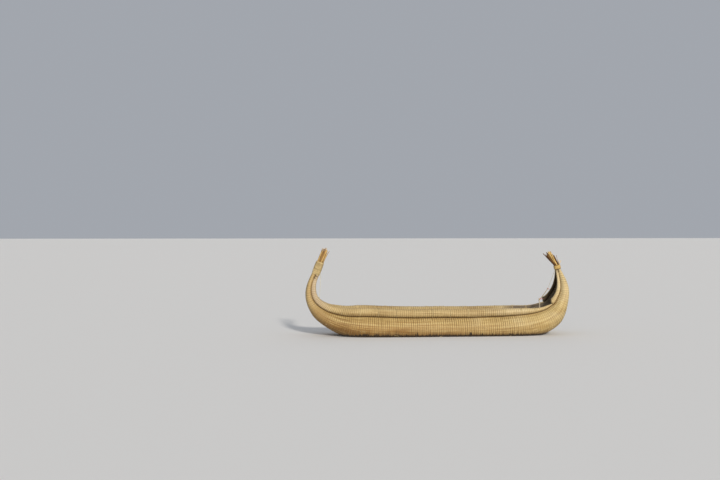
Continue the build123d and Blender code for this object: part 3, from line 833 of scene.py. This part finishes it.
# ------------------------------------------------------------------ lashings
def hoop_batch(frames, side, hoops, around, centre, radii, arc, thick, seed, slant, sink, low_limit=-2.0):
    """Cord hoops round a roll, a little slanted as a spiral is."""
    r = np.random.default_rng(seed)
    batch = Batch()
    for s0 in hoops:
        sec0 = frames([s0])
        a = np.linspace(arc(sec0)[0], arc(sec0)[1], around)
        share = (a - a[0]) / (a[-1] - a[0]) - 0.5
        wob = 0.0016 * np.sin(a * r.integers(2, 6) + r.uniform(0, 6)) + 0.0010 * np.sin(a * 9 + r.uniform(0, 6))
        s = s0 + slant * share + wob
        sec = frames(s)
        cu, cv = centre(sec)
        ru, rv = radii(sec)
        scale = np.clip(ru / 0.10, 0.35, 1.0)
        t = thick * scale
        nu, nv = np.cos(a) / ru, np.sin(a) / rv
        size = np.hypot(nu, nv)
        d = sink * scale + 0.0008 * np.sin(a * 23 + r.uniform(0, 6))
        u = cu + ru * np.cos(a) + nu / size * d
        v = cv + rv * np.sin(a) + nv / size * d
        u = np.maximum(u, 0.004)
        P = sec.place(side, u, v)
        verts, quads, tris = tube(P, t / 2, 4)
        end = max(np.clip((sec0.x[0] - 1.7) / 1.2, 0, 1), 0.7 * np.clip((sec0.z[0] - 0.6) / 0.5, 0, 1))
        # painted shade on cord faces turned inboard in the bow
        dim = np.clip((-np.cos(a) - 0.10) / 0.55, 0, 1) * shaded(sec0.x[0]) * (np.sin(a) > low_limit)
        batch.add(verts, quads, tris, tone=float(np.clip(r.normal(0.22 + 0.48 * end, 0.16), 0, 1)),
                  inner=np.concatenate([np.repeat(dim, 4), [0, 0]]))
    return batch


for side, label in SIDES:
    batch = hoop_batch(
        Sections, side, main_hoops[side], 44,
        lambda q: (q.cu, 0 * q.cu), lambda q: (q.W, q.R),
        lambda q: (-(PI - math.acos((q.cu[0] - 0.004) / q.W[0])) + 0.03, PI - math.acos((q.cu[0] - 0.004) / q.W[0]) - 0.03),
        0.0085, 51 + int(side), 0.012, 0.0004, low_limit=0.2)
    ride(batch.make(f"{label}_main_lashing", HOOP_CORD), "cord")
    for frames, hoops, name in ((Sections, gun_hoops, "gunwale"), (NeckFrames, neck_hoops, "neck")):
        batch = hoop_batch(
            frames, side, hoops[side], 19,
            lambda q: (q.gu, q.gv), lambda q: (q.rg, 0.98 * q.rg),
            lambda q: (-PI, PI), 0.0078, 61 + int(side), 0.010, 0.0004)
        ride(batch.make(f"{label}_{name}_lashing", HOOP_CORD), "cord")

# ------------------------------------------------------------------ neck wraps
def wrap_outline(sec, grow, count=72):
    """Outline round the four tips of one section, counter-clockwise from outboard to port."""
    circles = [(s * sec.cu[0], 0.0, sec.W[0]) for s in (-1, 1)] + [(s * sec.gu[0], sec.gv[0], sec.rg[0]) for s in (-1, 1)]
    th = np.linspace(0, 2 * PI, 720, endpoint=False)
    reach = np.stack([cx * np.cos(th) + cy * np.sin(th) + r for cx, cy, r in circles])
    which = reach.argmax(0)
    c = np.array(circles)[which]
    pts = np.stack([c[:, 0] + (c[:, 2] + grow) * np.cos(th), c[:, 1] + (c[:, 2] + grow) * np.sin(th)], -1)
    loop = np.concatenate([pts, pts[:1]])
    d = np.concatenate([[0], np.cumsum(np.linalg.norm(np.diff(loop, axis=0), axis=1))])
    q = np.linspace(0, d[-1], count, endpoint=False)
    return np.stack([np.interp(q, d, loop[:, 0]), np.interp(q, d, loop[:, 1])], -1)


def coil(name, start, end, rope, material, slot, node, seed, jitter, bulge=0.0, per_turn=56, strands=1, tilt=0.0):
    """Rope wound round the four tips between two distances along the hull, on a core coloured dark as painted shade
    between the turns.
    """
    r = np.random.default_rng(seed)
    turns = math.ceil((abs(end - start) - 2 * abs(tilt) - rope) / (rope * 0.97))
    one = Sections([min(max(start, 0), HULL_LEN)])
    outline = wrap_outline(one, rope * (0.42 if strands == 1 else 0.30), per_turn)
    middle = np.array([0, one.gv[0] / 2])
    s, uv, tone = [], [], []
    shade = r.uniform(0.05, 0.95, turns + 1)
    bump = r.uniform(-1, 1, turns + 1)
    low, span = min(start, end) + rope / 2 + abs(tilt), abs(end - start) - rope - 2 * abs(tilt)
    for i in range(turns * per_turn + 1):
        turn, j = divmod(i, per_turn)
        f, w = i / (turns * per_turn), j / per_turn
        m = min(turn + 1, turns)
        way = outline[j] - middle
        way = way / np.linalg.norm(way)
        s.append(low + span * f + tilt * way[1])
        grow = jitter * rope * (bump[turn] * (1 - w) + bump[m] * w) + bulge * (abs(math.sin(PI * f)) ** 0.8 - 0.30)
        uv.append(outline[j] + way * grow)
        tone.append(shade[turn] * (1 - w) + shade[m] * w)
    s, uv = np.array(s), np.array(uv)
    sec = Sections(s)
    P = np.stack([sec.x + uv[:, 1] * sec.nx, uv[:, 0], sec.z + uv[:, 1] * sec.nz], -1)
    batch = Batch()
    if strands == 1:
        v, q, t = tube(P, rope / 2, 6)
        batch.add(v, q, t, tone=np.concatenate([np.repeat(tone, 6), [0.5, 0.5]]))
    else:
        for line, radius in twisted(P, rope * 0.84, strands, 0.075, step=0.010):
            v, q, t = tube(line, radius, 5)
            batch.add(v, q, t, tone=float(r.uniform(0.70, 1.0)))
    # the core, dark as painted shade showing between the turns
    core = wrap_outline(one, rope * 0.18, 40)
    ends = Sections([min(start, end) + 0.004, max(start, end) - 0.004])
    ring = np.stack([ends.x[:, None] + core[None, :, 1] * ends.nx[:, None],
                     np.broadcast_to(core[None, :, 0], (2, 40)),
                     ends.z[:, None] + core[None, :, 1] * ends.nz[:, None]], -1)
    verts = np.concatenate([ring.reshape(-1, 3), ring.mean(1)])
    j = np.arange(40)
    j2 = (j + 1) % 40
    caps = np.concatenate([np.stack([np.full(40, 80), j2, j], -1), np.stack([np.full(40, 81), 40 + j, 40 + j2], -1)])
    batch.add(verts, ring_faces(2, 40), caps, tone=0.15 if strands == 1 else -0.1)
    return ride(batch.make(name, material), slot, *node)


def twisted(points, diameter, strands=3, lay=0.045, step=0.008):
    """Strands laid round a line of points: a list of (points, radius)."""
    p = np.asarray(points, float)
    d = np.concatenate([[0], np.cumsum(np.linalg.norm(np.diff(p, axis=0), axis=1))])
    q = np.linspace(0, d[-1], max(4, int(d[-1] / step)))
    line = np.stack([np.interp(q, d, p[:, c]) for c in range(3)], -1)
    t, a, b = path_frames(line)
    out = []
    for k in range(strands):
        w = 2 * PI * (q / lay + k / strands)
        out.append((line + (np.cos(w)[:, None] * a + np.sin(w)[:, None] * b) * diameter * 0.25, diameter * 0.29))
    return out


coil("stern_wrap_rope", -STERN_WRAP, 0.0, 0.0115, WRAP_ROPE, "rope", ["stern_neck_wrap"], 71, 0.10, bulge=0.010)
coil("bow_lashing_rope", HULL_LEN, HULL_LEN + BOW_WRAP, 0.0310, GOLD_ROPE, "rope", ["bow_neck_wrap"], 72, 0.06, strands=3, tilt=0.009)


def stitches(name, places, side_list, seed):
    """Short dark cords over the groove between a main roll and the roll on its shoulder."""
    r = np.random.default_rng(seed)
    batch = Batch()
    for side in side_list:
        for s0, skew in places:
            sec0 = Sections([s0])
            f = np.linspace(0, 1, 9)
            # from the main roll's outside over the groove to the crown of the shoulder roll
            a_main = 0.45
            p0 = (sec0.cu[0] + (sec0.W[0] + 0.004) * math.cos(a_main), (sec0.R[0] + 0.004) * math.sin(a_main))
            p1 = (sec0.gu[0] + (sec0.rg[0] + 0.004) * math.cos(0.55), sec0.gv[0] + (sec0.rg[0] + 0.004) * math.sin(0.55))
            out = 0.010 * np.sin(PI * f)
            u = p0[0] + (p1[0] - p0[0]) * f + out
            v = p0[1] + (p1[1] - p0[1]) * f
            sec = Sections(s0 + skew * (f - 0.5))
            P = np.stack([sec.x + v * sec.nx, side * u, sec.z + v * sec.nz], -1)
            verts, quads, tris = tube(P, 0.0050, 6)
            batch.add(verts, quads, tris, tone=float(r.uniform(0.2, 0.8)))
    return ride(batch.make(name, STITCH_CORD), "cord")


stitches("stern_neck_stitches", [(0.020, 0.03), (0.055, -0.03), (0.100, 0.03)], (STARBOARD, PORT), 75)
stitches("bow_neck_stitches", [(HULL_LEN - 0.022, 0.02), (HULL_LEN - 0.050, -0.02)], (STARBOARD, PORT), 76)

# ------------------------------------------------------------------ reed tufts
def reed_stalk(base, tip, bend, r0, r1, steps=7, sides=6):
    """One stiff reed: its line bows by bend, and it narrows from r0 to r1."""
    f = np.linspace(0, 1, steps)[:, None]
    p = base + (tip - base) * f + bend * (f * f - f)
    return p, r0 + (r1 - r0) * f[:, 0]


def tuft(name, s_top, up, count, length, spread, lean, node, seed, tone_at, thick, extra=()):
    r = np.random.default_rng(seed)
    sec = Sections([s_top])
    axis = np.array([sec.tx[0], 0, sec.tz[0]]) * up
    n = np.array([sec.nx[0], 0, sec.nz[0]])
    y = np.array([0, 1.0, 0])
    root = np.array([sec.x[0], 0, sec.z[0]])
    mid_v = sec.gv[0] / 2
    half_u = sec.W[0] + sec.cu[0] - 0.006
    half_v = (sec.R[0] + sec.gv[0] + sec.rg[0]) / 2 - 0.006
    batch = Batch()
    reeds = []
    for i in range(count):
        rad, th = math.sqrt((i + 0.5) / count), i * 2.399963
        a, b = rad * math.cos(th), rad * math.sin(th)
        long = length * (1 - 0.14 * rad * rad) * r.uniform(0.72, 1.02)
        reeds.append((a, b, long, a * spread[0] + r.normal(0, 0.045), b * spread[1] + lean + r.normal(0, 0.045), None))
    reeds += [(a, b, long, du, dv, tone) for a, b, long, du, dv, tone in extra]
    for i, (a, b, long, du, dv, tone) in enumerate(reeds):
        base = root + y * (half_u * a) + n * (mid_v + half_v * b) - axis * 0.03
        out = y * du + n * dv
        tip = base + axis * long + out * long
        bend = (y * r.normal(0, 0.05) + n * (r.normal(0, 0.05) - 0.05 * lean)) * long
        w = thick * r.uniform(0.75, 1.25)
        p, rr = reed_stalk(base, tip, bend, w * 1.05, w * r.uniform(0.55, 1.0), 6)
        verts, quads, tris = tube(p, rr, 6, flat=r.uniform(0.55, 1.0))
        kind = r.choice([-0.45, 0.0, 0.42], p=[0.36, 0.36, 0.28])
        t = tone if tone is not None else float(np.clip(tone_at(a, b) + kind + r.normal(0, 0.08), 0, 1))
        shade = np.concatenate([np.repeat(t + 0.10 * np.linspace(-1, 0.6, len(p)), 6), [t, min(1.0, t + 0.25)]])
        flow = np.tile([0.0, i * 0.31, i], (len(verts), 1))
        flow[:-2, 0] = np.repeat(np.linspace(0, long, len(p)), 6)
        flow[-1, 0] = long
        flow[:-2, 1] += np.tile(np.arange(6) * 0.004, len(p))
        batch.add(verts, quads, tris, tone=shade, gap=0.0, bind=0.0, inner=0.0, flow=flow)
    return ride(batch.make(name, TUFT_REED), "reed_brown", *node)


tuft("bow_tuft_reeds", HULL_LEN + BOW_WRAP, 1, 70, 0.455, (0.12, 0.10), 0.30, ["bow_reed_tuft"], 81,
     lambda a, b: 0.52 - 0.30 * max(0.0, b) - 0.10 * abs(a), 0.0098,
     [(-0.7, 0.9, 0.40, -0.12, 0.52, 0.05), (-0.5, 0.95, 0.44, -0.05, 0.58, 0.15), (-0.8, 0.7, 0.36, -0.20, 0.50, 0.10),
      (-0.8, 0.0, 0.47, -0.12, 0.36, 1.0), (-0.8, -0.2, 0.47, -0.14, 0.33, 1.0), (-0.8, 0.2, 0.45, -0.16, 0.39, 0.95),
      (-0.7, -0.9, 0.13, -0.30, -0.60, 0.95), (0.3, -1.0, 0.14, 0.2, -0.34, 0.9), (-0.3, -0.9, 0.30, -0.05, 0.02, 0.35),
      (0.2, 0.9, 0.43, 0.10, 0.50, 0.2)])
tuft("stern_tuft_reeds", -STERN_WRAP, -1, 70, 0.45, (-0.03, -0.06), 0.03, ["stern_reed_tuft"], 82,
     lambda a, b: 0.50 - 0.10 * abs(a), 0.0095,
     [(-0.8, -0.5, 0.30, -0.1, -0.12, 0.8), (0.5, 0.8, 0.36, 0.10, 0.12, 0.85), (-0.5, 0.9, 0.40, -0.1, 0.10, 0.25)])

# ------------------------------------------------------------------ rope stays and peg
def add_rope(batch, points, diameter, tone, r, **kw):
    for line, radius in twisted(points, diameter, **kw):
        v, q, t = tube(line, radius, 5)
        batch.add(v, q, t, tone=float(np.clip(tone + r.normal(0, 0.08), 0, 1)))


def loop_points(centre, axis, radius, turns, pitch, count=18, squash=1.0, phase=0.0):
    axis = np.array(axis, float) / np.linalg.norm(axis)
    ref = np.array([0, 1.0, 0]) if abs(axis[1]) < 0.9 else np.array([1.0, 0, 0])
    a = np.cross(axis, ref)
    a /= np.linalg.norm(a)
    b = np.cross(axis, a)
    w = np.linspace(0, 2 * PI * turns, int(count * turns) + 1) + phase
    f = (w - w[0]) / (2 * PI)
    return (np.array(centre) + np.cos(w)[:, None] * a * radius + np.sin(w)[:, None] * b * radius * squash
            + axis * ((f - turns / 2) * pitch)[:, None])


PEG = np.array([2.916, 0.0, 1.228])
stern_sec, bow_sec = Sections([0.0]), Sections([HULL_LEN])


def face_point(sec, axis_up, along):
    v = sec.gv[0] + sec.rg[0] + WRAP_WALL
    return np.array([sec.x[0] + v * sec.nx[0], 0, sec.z[0] + v * sec.nz[0]]) + axis_up * along


bow_up = np.array([bow_sec.tx[0], 0, bow_sec.tz[0]])
stern_up = -np.array([stern_sec.tx[0], 0, stern_sec.tz[0]])
bow_top = face_point(bow_sec, bow_up, 0.010)
bow_mid = np.array([3.162, 0.0, 1.497])
bow_foot = PEG + np.array([0.024, 0, -0.024])

r = np.random.default_rng(91)
batch = Batch()
for shift in (-0.006, 0.006):      # the upper part is a doubled thin cord
    a, b = bow_top + np.array([0, shift, 0]), bow_mid + np.array([0, shift * 0.4, 0])
    f = np.linspace(0, 1, 9)[:, None]
    line = a + (b - a) * f + np.array([0, shift * 0.6, -0.006]) * np.sin(f * PI)
    add_rope(batch, line, 0.0095, 0.75, r, lay=0.03)
f = np.linspace(0, 1, 7)[:, None]
line = bow_mid + (bow_foot - bow_mid) * f + np.array([0, 0, -0.008]) * np.sin(f * PI)
lower = Batch()
add_rope(lower, line, 0.018, 0.45, r, lay=0.05)
for k in range(3):                  # turns round the peg under its top
    add_rope(lower, loop_points(PEG - np.array([0, 0, 0.026 + 0.009 * k]), (0.1, 0, 1), 0.0185, 1.15, 0.004, phase=k), 0.0085, 0.6, r, lay=0.03)
ride(lower.make("bow_stay_lower_rope", STAY_ROPE), "cord")
down = (bow_mid - bow_top) / np.linalg.norm(bow_mid - bow_top)
for k in range(3):                  # the knot in the middle
    add_rope(batch, loop_points(bow_mid + down * (k - 1) * 0.010, down + np.array([0.2 * (k - 1), 0.3, 0]), 0.0135, 1.0, 0.003, phase=2 * k), 0.010, 0.55, r, lay=0.03)
ride(batch.make("bow_stay_rope", PALE_CORD), "cord", "bow_stay")

stern_foot_sec = Sections([KNOT[4]])
v = stern_foot_sec.gv[0] + stern_foot_sec.rg[0] + 0.016
u = stern_foot_sec.gu[0] - 0.012
stern_foot = np.array([stern_foot_sec.x[0] + v * stern_foot_sec.nx[0], -u, stern_foot_sec.z[0] + v * stern_foot_sec.nz[0]])
stern_top = face_point(stern_sec, stern_up, 0.085)
batch = Batch()
f = np.linspace(0, 1, 11)[:, None]
line = stern_top + (stern_foot - stern_top) * f + np.array([0.012, 0, -0.004]) * np.sin(f * PI)
add_rope(batch, line, 0.0120, 0.85, r, lay=0.035)
down = (stern_foot - stern_top) / np.linalg.norm(stern_foot - stern_top)
for k in range(3):
    add_rope(batch, loop_points(stern_foot - down * (0.004 - 0.008 * k), down + np.array([0.3 * (k - 1), 0.2, 0]), 0.0125, 1.0, 0.003, phase=k), 0.011, 0.8, r, lay=0.03)
ride(batch.make("stern_stay_rope", PALE_CORD), "cord", "stern_stay")


def rag(batch, centre, size, seed, tails):
    """A strip of cloth knotted on the rope: a crumpled ball and short flat tails."""
    r = np.random.default_rng(seed)
    nu, nv = 22, 14
    th = np.linspace(0, 2 * PI, nu, endpoint=False)
    ph = np.linspace(0.12, PI - 0.12, nv)
    T, Ph = np.meshgrid(th, ph)
    rad = 1 + sum(r.uniform(0.05, 0.14) * np.sin(r.integers(1, 5) * T + r.uniform(0, 6)) * np.sin(r.integers(1, 5) * Ph + r.uniform(0, 6)) for _ in range(7))
    P = np.stack([rad * np.sin(Ph) * np.cos(T), 0.8 * rad * np.sin(Ph) * np.sin(T), 0.85 * rad * np.cos(Ph)], -1) * size
    verts = np.concatenate([(P + centre).reshape(-1, 3), centre + P[:1].mean(1), centre + P[-1:].mean(1)])
    j = np.arange(nu)
    j2 = (j + 1) % nu
    n = nu * nv
    tris = np.concatenate([np.stack([np.full(nu, n), j, j2], -1), np.stack([np.full(nu, n + 1), (nv - 1) * nu + j2, (nv - 1) * nu + j], -1)])
    batch.add(verts, ring_faces(nv, nu), tris, tone=0.5)
    for d, length, width in tails:
        d = np.array(d, float) / np.linalg.norm(d)
        f = np.linspace(0, 1, 9)
        side_dir = np.cross(d, [0.3, 1, 0.2])
        side_dir /= np.linalg.norm(side_dir)
        mid = centre + d * (f * length)[:, None] + side_dir * (0.006 * np.sin(f * 7 + r.uniform(0, 6)))[:, None] + np.array([0, 0, -1.0]) * (0.25 * length * f ** 2)[:, None]
        half = width * (0.6 + 0.4 * f)[:, None]
        thick = np.cross(side_dir, d) * 0.0011
        ring = np.stack([mid - side_dir * half - thick, mid + side_dir * half * 0.9 - thick, mid + side_dir * half + thick, mid - side_dir * half + thick], 1)
        v = ring.reshape(-1, 3)
        q = np.concatenate([ring_faces(9, 4), [[3, 2, 1, 0]], [[32, 33, 34, 35]]])
        batch.add(v, q, (), tone=0.6)


batch = Batch()
rag(batch, bow_mid, 0.021, 5, [((-0.4, -0.5, 0.2), 0.075, 0.011), ((0.7, 0.2, -0.2), 0.055, 0.010)])
rag(batch, bow_foot + np.array([0.004, 0, 0.002]), 0.020, 6, [((0.9, -0.4, 0.1), 0.080, 0.011), ((-0.7, 0.3, -0.5), 0.065, 0.009)])
ride(batch.make("stay_rags", RAG), "cord")

# the peg: a peeled stick, a little crooked
f = np.linspace(0, 1, 22)
line = np.stack([PEG[0] + 0.0035 * np.sin(f * 5.0), 0.003 * np.sin(f * 7 + 1), 0.840 + (PEG[2] - 0.003 - 0.840) * f], -1)
radius = 0.0150 + 0.0010 * np.sin(f * 19) - 0.0012 * f
radius[-1] *= 0.72
v, q, t = tube(line, radius, 16)
ride(new_object("stay_peg", v, q, t, material=PEG_WOOD), "peg_wood", "bow_stay_peg")

# ------------------------------------------------------------------ floor mat
MAT_LINE = np.array([(-2.20, 0.8175), (-1.70, 0.8060), (-0.90, 0.7795), (0.00, 0.7765), (0.90, 0.7775), (1.70, 0.8030), (2.15, 0.8305)])
mat_m = natural_spline(MAT_LINE[:, 0], MAT_LINE[:, 1])


def mat_z(x):
    return spline_at(MAT_LINE[:, 0], MAT_LINE[:, 1], mat_m, np.clip(x, -2.2, 2.15))


r = np.random.default_rng(101)
batch = Batch()
MAT_REEDS, MAT_HALF = 44, 0.370
pitch = 2 * MAT_HALF / MAT_REEDS
prof = np.array([(-0.50, 0.10), (-0.42, 0.62), (-0.16, 0.98), (0.16, 0.98), (0.42, 0.62), (0.50, 0.10)])
for i in range(MAT_REEDS):
    y0 = -MAT_HALF + (i + 0.5) * pitch
    x = np.linspace(-2.2 + r.uniform(0.0, 0.07), 2.15 - r.uniform(0.0, 0.07), 84)
    tie = np.abs(((x + 2.2) / 0.22) % 1.0 - 0.5) * 2           # 1 at the ties
    press = np.clip((tie - 0.82) / 0.18, 0, 1)
    wave = 0.0022 * np.sin(x * r.uniform(1, 3) + r.uniform(0, 6))
    wide = pitch * (1.02 - 0.10 * press)
    tall = 0.0155 * r.uniform(0.85, 1.1) * (1 - 0.22 * press)
    low = mat_z(x) + 0.008 + r.uniform(-0.001, 0.001)
    Y = np.clip(y0 + wave[:, None] + prof[None, :, 0] * wide[:, None], -MAT_HALF, MAT_HALF)
    Z = low[:, None] + prof[None, :, 1] * tall[:, None]
    bottom = np.stack([x, np.full_like(x, y0) + wave, mat_z(x)], -1)[:, None]
    P = np.concatenate([np.stack([np.broadcast_to(x[:, None], Y.shape), Y, Z], -1), bottom], 1)
    n_around = P.shape[1]
    verts = P.reshape(-1, 3)
    ends = np.concatenate([[np.arange(n_around)[::-1]], [np.arange(n_around) + (len(x) - 1) * n_around]])
    tri = []
    for e in ends:
        tri += [[e[0], e[k], e[k + 1]] for k in range(1, n_around - 1)]
    tone = float(np.clip(r.normal(0.5, 0.2), 0, 1))
    # painted shade in the gaps between mat reeds
    gap = np.tile([0.9, 0.25, 0.0, 0.0, 0.25, 0.9, 1.0], len(x))
    flow = np.stack([np.repeat(x, n_around), np.tile(np.arange(n_around) * 0.003, len(x)) + i * 0.02, np.full(len(verts), i)], -1)
    batch.add(verts, ring_faces(len(x), n_around), tri, tone=tone, gap=gap, bind=0.0, inner=0.0, flow=flow)
ride(batch.make("floor_mat_reeds", MAT_REED), "mat", "floor_mat")

batch = Batch()
for x0 in np.arange(-2.2 + 0.22, 2.10, 0.22):            # cords that bind the mat, over and under each reed
    y = np.linspace(-MAT_HALF + 0.002, MAT_HALF - 0.002, 89)
    z = mat_z(x0) + 0.0195 + 0.0022 * np.cos((y + MAT_HALF) / pitch * 2 * PI)
    x = x0 + 0.002 * np.sin(y * 30 + x0 * 9)
    v, q, t = tube(np.stack([x, y, z], -1), 0.0028, 4)
    batch.add(v, q, t, tone=float(r.uniform(0.2, 0.7)))
ride(batch.make("floor_mat_cords", HOOP_CORD), "cord")

# loose cut reeds lying on the mat
batch = Batch()
for i in range(46):
    x0, y0 = r.uniform(-1.9, 1.75), r.uniform(-0.30, 0.30)
    ang = r.normal(0, 0.12) + (0.5 if r.random() < 0.12 else 0)
    length = r.uniform(0.35, 1.3)
    f = np.linspace(-0.5, 0.5, 9)
    x = np.clip(x0 + f * length * math.cos(ang), -2.15, 2.10)
    y = np.clip(y0 + f * length * math.sin(ang) + 0.01 * np.sin(f * 5 + r.uniform(0, 6)), -0.345, 0.345)
    thick = r.uniform(0.0045, 0.0075)
    z = mat_z(x) + 0.0235 + thick + 0.004 * (i % 3) + 0.003 * np.sin(f * 6 + i)
    v, q, t = tube(np.stack([x, y, z], -1), thick * (1 - 0.3 * (f + 0.5)), 6)
    k = np.concatenate([np.repeat(f * length, 6), [0, 0]])
    batch.add(v, q, t, tone=float(np.clip(r.normal(0.62, 0.2), 0, 1)), gap=0.0, bind=0.0, inner=0.0,
              flow=np.stack([k, np.full(len(k), i * 0.37), np.full(len(k), i)], -1))
ride(batch.make("loose_floor_reeds", MAT_REED), "mat")

# ------------------------------------------------------------------ gunwale ties
TIE_X = [-2.75, -2.25, -1.75, -1.25, -0.75, -0.25, 0.25, 0.75, 1.25, 1.75, 2.25, 2.65]
dense = Sections(np.linspace(0, HULL_LEN, 2000))
gun_x = dense.x + dense.gv * dense.nx
for side, label in SIDES:
    batch = Batch()
    for x0 in TIE_X:
        mid = (dense.s > KNOT[6]) & (dense.s < KNOT[20])
        s0 = float(np.interp(x0, gun_x[mid], dense.s[mid]))
        for k, shift in enumerate((-0.0048, 0.0048)):
            a = np.radians(np.linspace(-70, 224, 26))
            sec = Sections(s0 + shift + 0.004 * np.sin(a * 1.5 + k))
            rr = sec.rg + 0.0050
            P = sec.place(side, sec.gu + rr * np.cos(a), sec.gv + rr * np.sin(a))
            add_rope(batch, P, 0.0090, 0.55, r, lay=0.03, step=0.012)
    ride(batch.make(f"{label}_tie_ropes", TIE_ROPE), "cord", f"{label}_gunwale_ties")

# ------------------------------------------------------------------ stray reed ends on the rolls
r = np.random.default_rng(131)
batch = Batch()
for i in range(170):
    side = STARBOARD if r.random() < 0.5 else PORT
    s0 = r.uniform(0.3, HULL_LEN - 0.3)
    on_gunwale = r.random() < 0.35 and s0 < GUNWALE_END - 0.3
    sec = Sections([s0])
    if on_gunwale:
        a = r.uniform(-0.6, 2.6)
        rr = sec.rg[0] + 0.002
        uv = np.array([sec.gu[0] + rr * math.cos(a), sec.gv[0] + rr * math.sin(a)])
    else:
        a = r.uniform(-0.9, 0.9)
        uv = np.array([sec.cu[0] + (sec.W[0] + 0.002) * math.cos(a), (sec.R[0] + 0.002) * math.sin(a)])
    way = 1 if r.random() < 0.5 else -1
    length = r.uniform(0.05, 0.16)
    f = np.linspace(0, 1, 6)
    out = np.array([math.cos(a), math.sin(a)])
    rise = r.uniform(0.006, 0.026) * f ** 2
    line = Sections(np.clip(s0 + way * length * f, 0, HULL_LEN))
    u, v = uv[0] + out[0] * rise, uv[1] + out[1] * rise
    P = np.stack([line.x + v * line.nx, side * u, line.z + v * line.nz], -1)
    verts, quads, tris = tube(P, 0.0032 * (1 - 0.75 * f) + 0.0006, 4)
    k = np.concatenate([np.repeat(f * length, 4), [0, 0]])
    batch.add(verts, quads, tris, tone=float(np.clip(r.normal(0.7, 0.2), 0, 1)), gap=0.0, bind=0.0, inner=0.0,
              flow=np.stack([k, np.full(len(k), i * 0.4), np.full(len(k), i)], -1))
ride(batch.make("stray_reed_ends", GUNWALE_REED), "reed_pale")

# ------------------------------------------------------------------ floor, light, camera
def stage_material():
    mat, nt, bsdf = new_material("pale_floor")
    bsdf.inputs["Base Color"].default_value = (0.74, 0.735, 0.725, 1)
    bsdf.inputs["Roughness"].default_value = 0.90
    bsdf.inputs["Specular IOR Level"].default_value = 0.04
    return mat


size = 260.0
floor = new_object("floor_plane", [(-size, -size, WATER_Z), (size, -size, WATER_Z), (size, size, WATER_Z), (-size, size, WATER_Z)],
                   [[0, 1, 2, 3]], material=stage_material(), smooth=False)
floor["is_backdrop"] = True

sun = bpy.data.lights.new("key_sun", "SUN")
sun.energy = 2.66
sun.angle = math.radians(6)
sun.color = (1.0, 0.945, 0.86)
key = bpy.data.objects.new("key_sun", sun)
toward = Vector((0.17, -0.88, 0.41)).normalized()        # from behind the camera, to its right
key.rotation_euler = toward.to_track_quat("Z", "Y").to_euler()
bpy.context.scene.collection.objects.link(key)

fill = bpy.data.lights.new("fill_sun", "SUN")
fill.energy = 0.55
fill.angle = math.radians(50)
fill.color = (1.0, 0.95, 0.88)
low_light = bpy.data.objects.new("fill_sun", fill)
low_light.rotation_euler = Vector((-0.10, -0.98, 0.14)).normalized().to_track_quat("Z", "Y").to_euler()
bpy.context.scene.collection.objects.link(low_light)

behind = bpy.data.lights.new("back_sun", "SUN")
behind.energy = 0.55
behind.angle = math.radians(60)
behind.color = (1.0, 0.96, 0.90)
back_light = bpy.data.objects.new("back_sun", behind)
back_light.rotation_euler = Vector((0.20, 0.95, 0.24)).normalized().to_track_quat("Z", "Y").to_euler()
bpy.context.scene.collection.objects.link(back_light)

world = bpy.data.worlds.new("studio")
world.use_nodes = True
world.node_tree.nodes["Background"].inputs["Color"].default_value = (0.86, 0.91, 1.0, 1)
world.node_tree.nodes["Background"].inputs["Strength"].default_value = 0.42
bpy.context.scene.world = world

YAW = math.radians(5.0)
camera = bpy.data.cameras.new("camera")
camera.sensor_width = 36.0
camera.lens = 1000.0 / 720.0 * 36.0
camera.clip_end = 500
cam = bpy.data.objects.new("camera", camera)
cam.location = (-4.653, -27.903, 3.22)
pitch_down = math.atan(12.0 / 1000.0)
cam.rotation_euler = (PI / 2 - pitch_down, 0, -YAW)
bpy.context.scene.collection.objects.link(cam)
bpy.context.scene.camera = cam

bpy.context.scene.view_settings.view_transform = "Standard"
bpy.context.scene.view_settings.look = "None"

low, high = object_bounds()
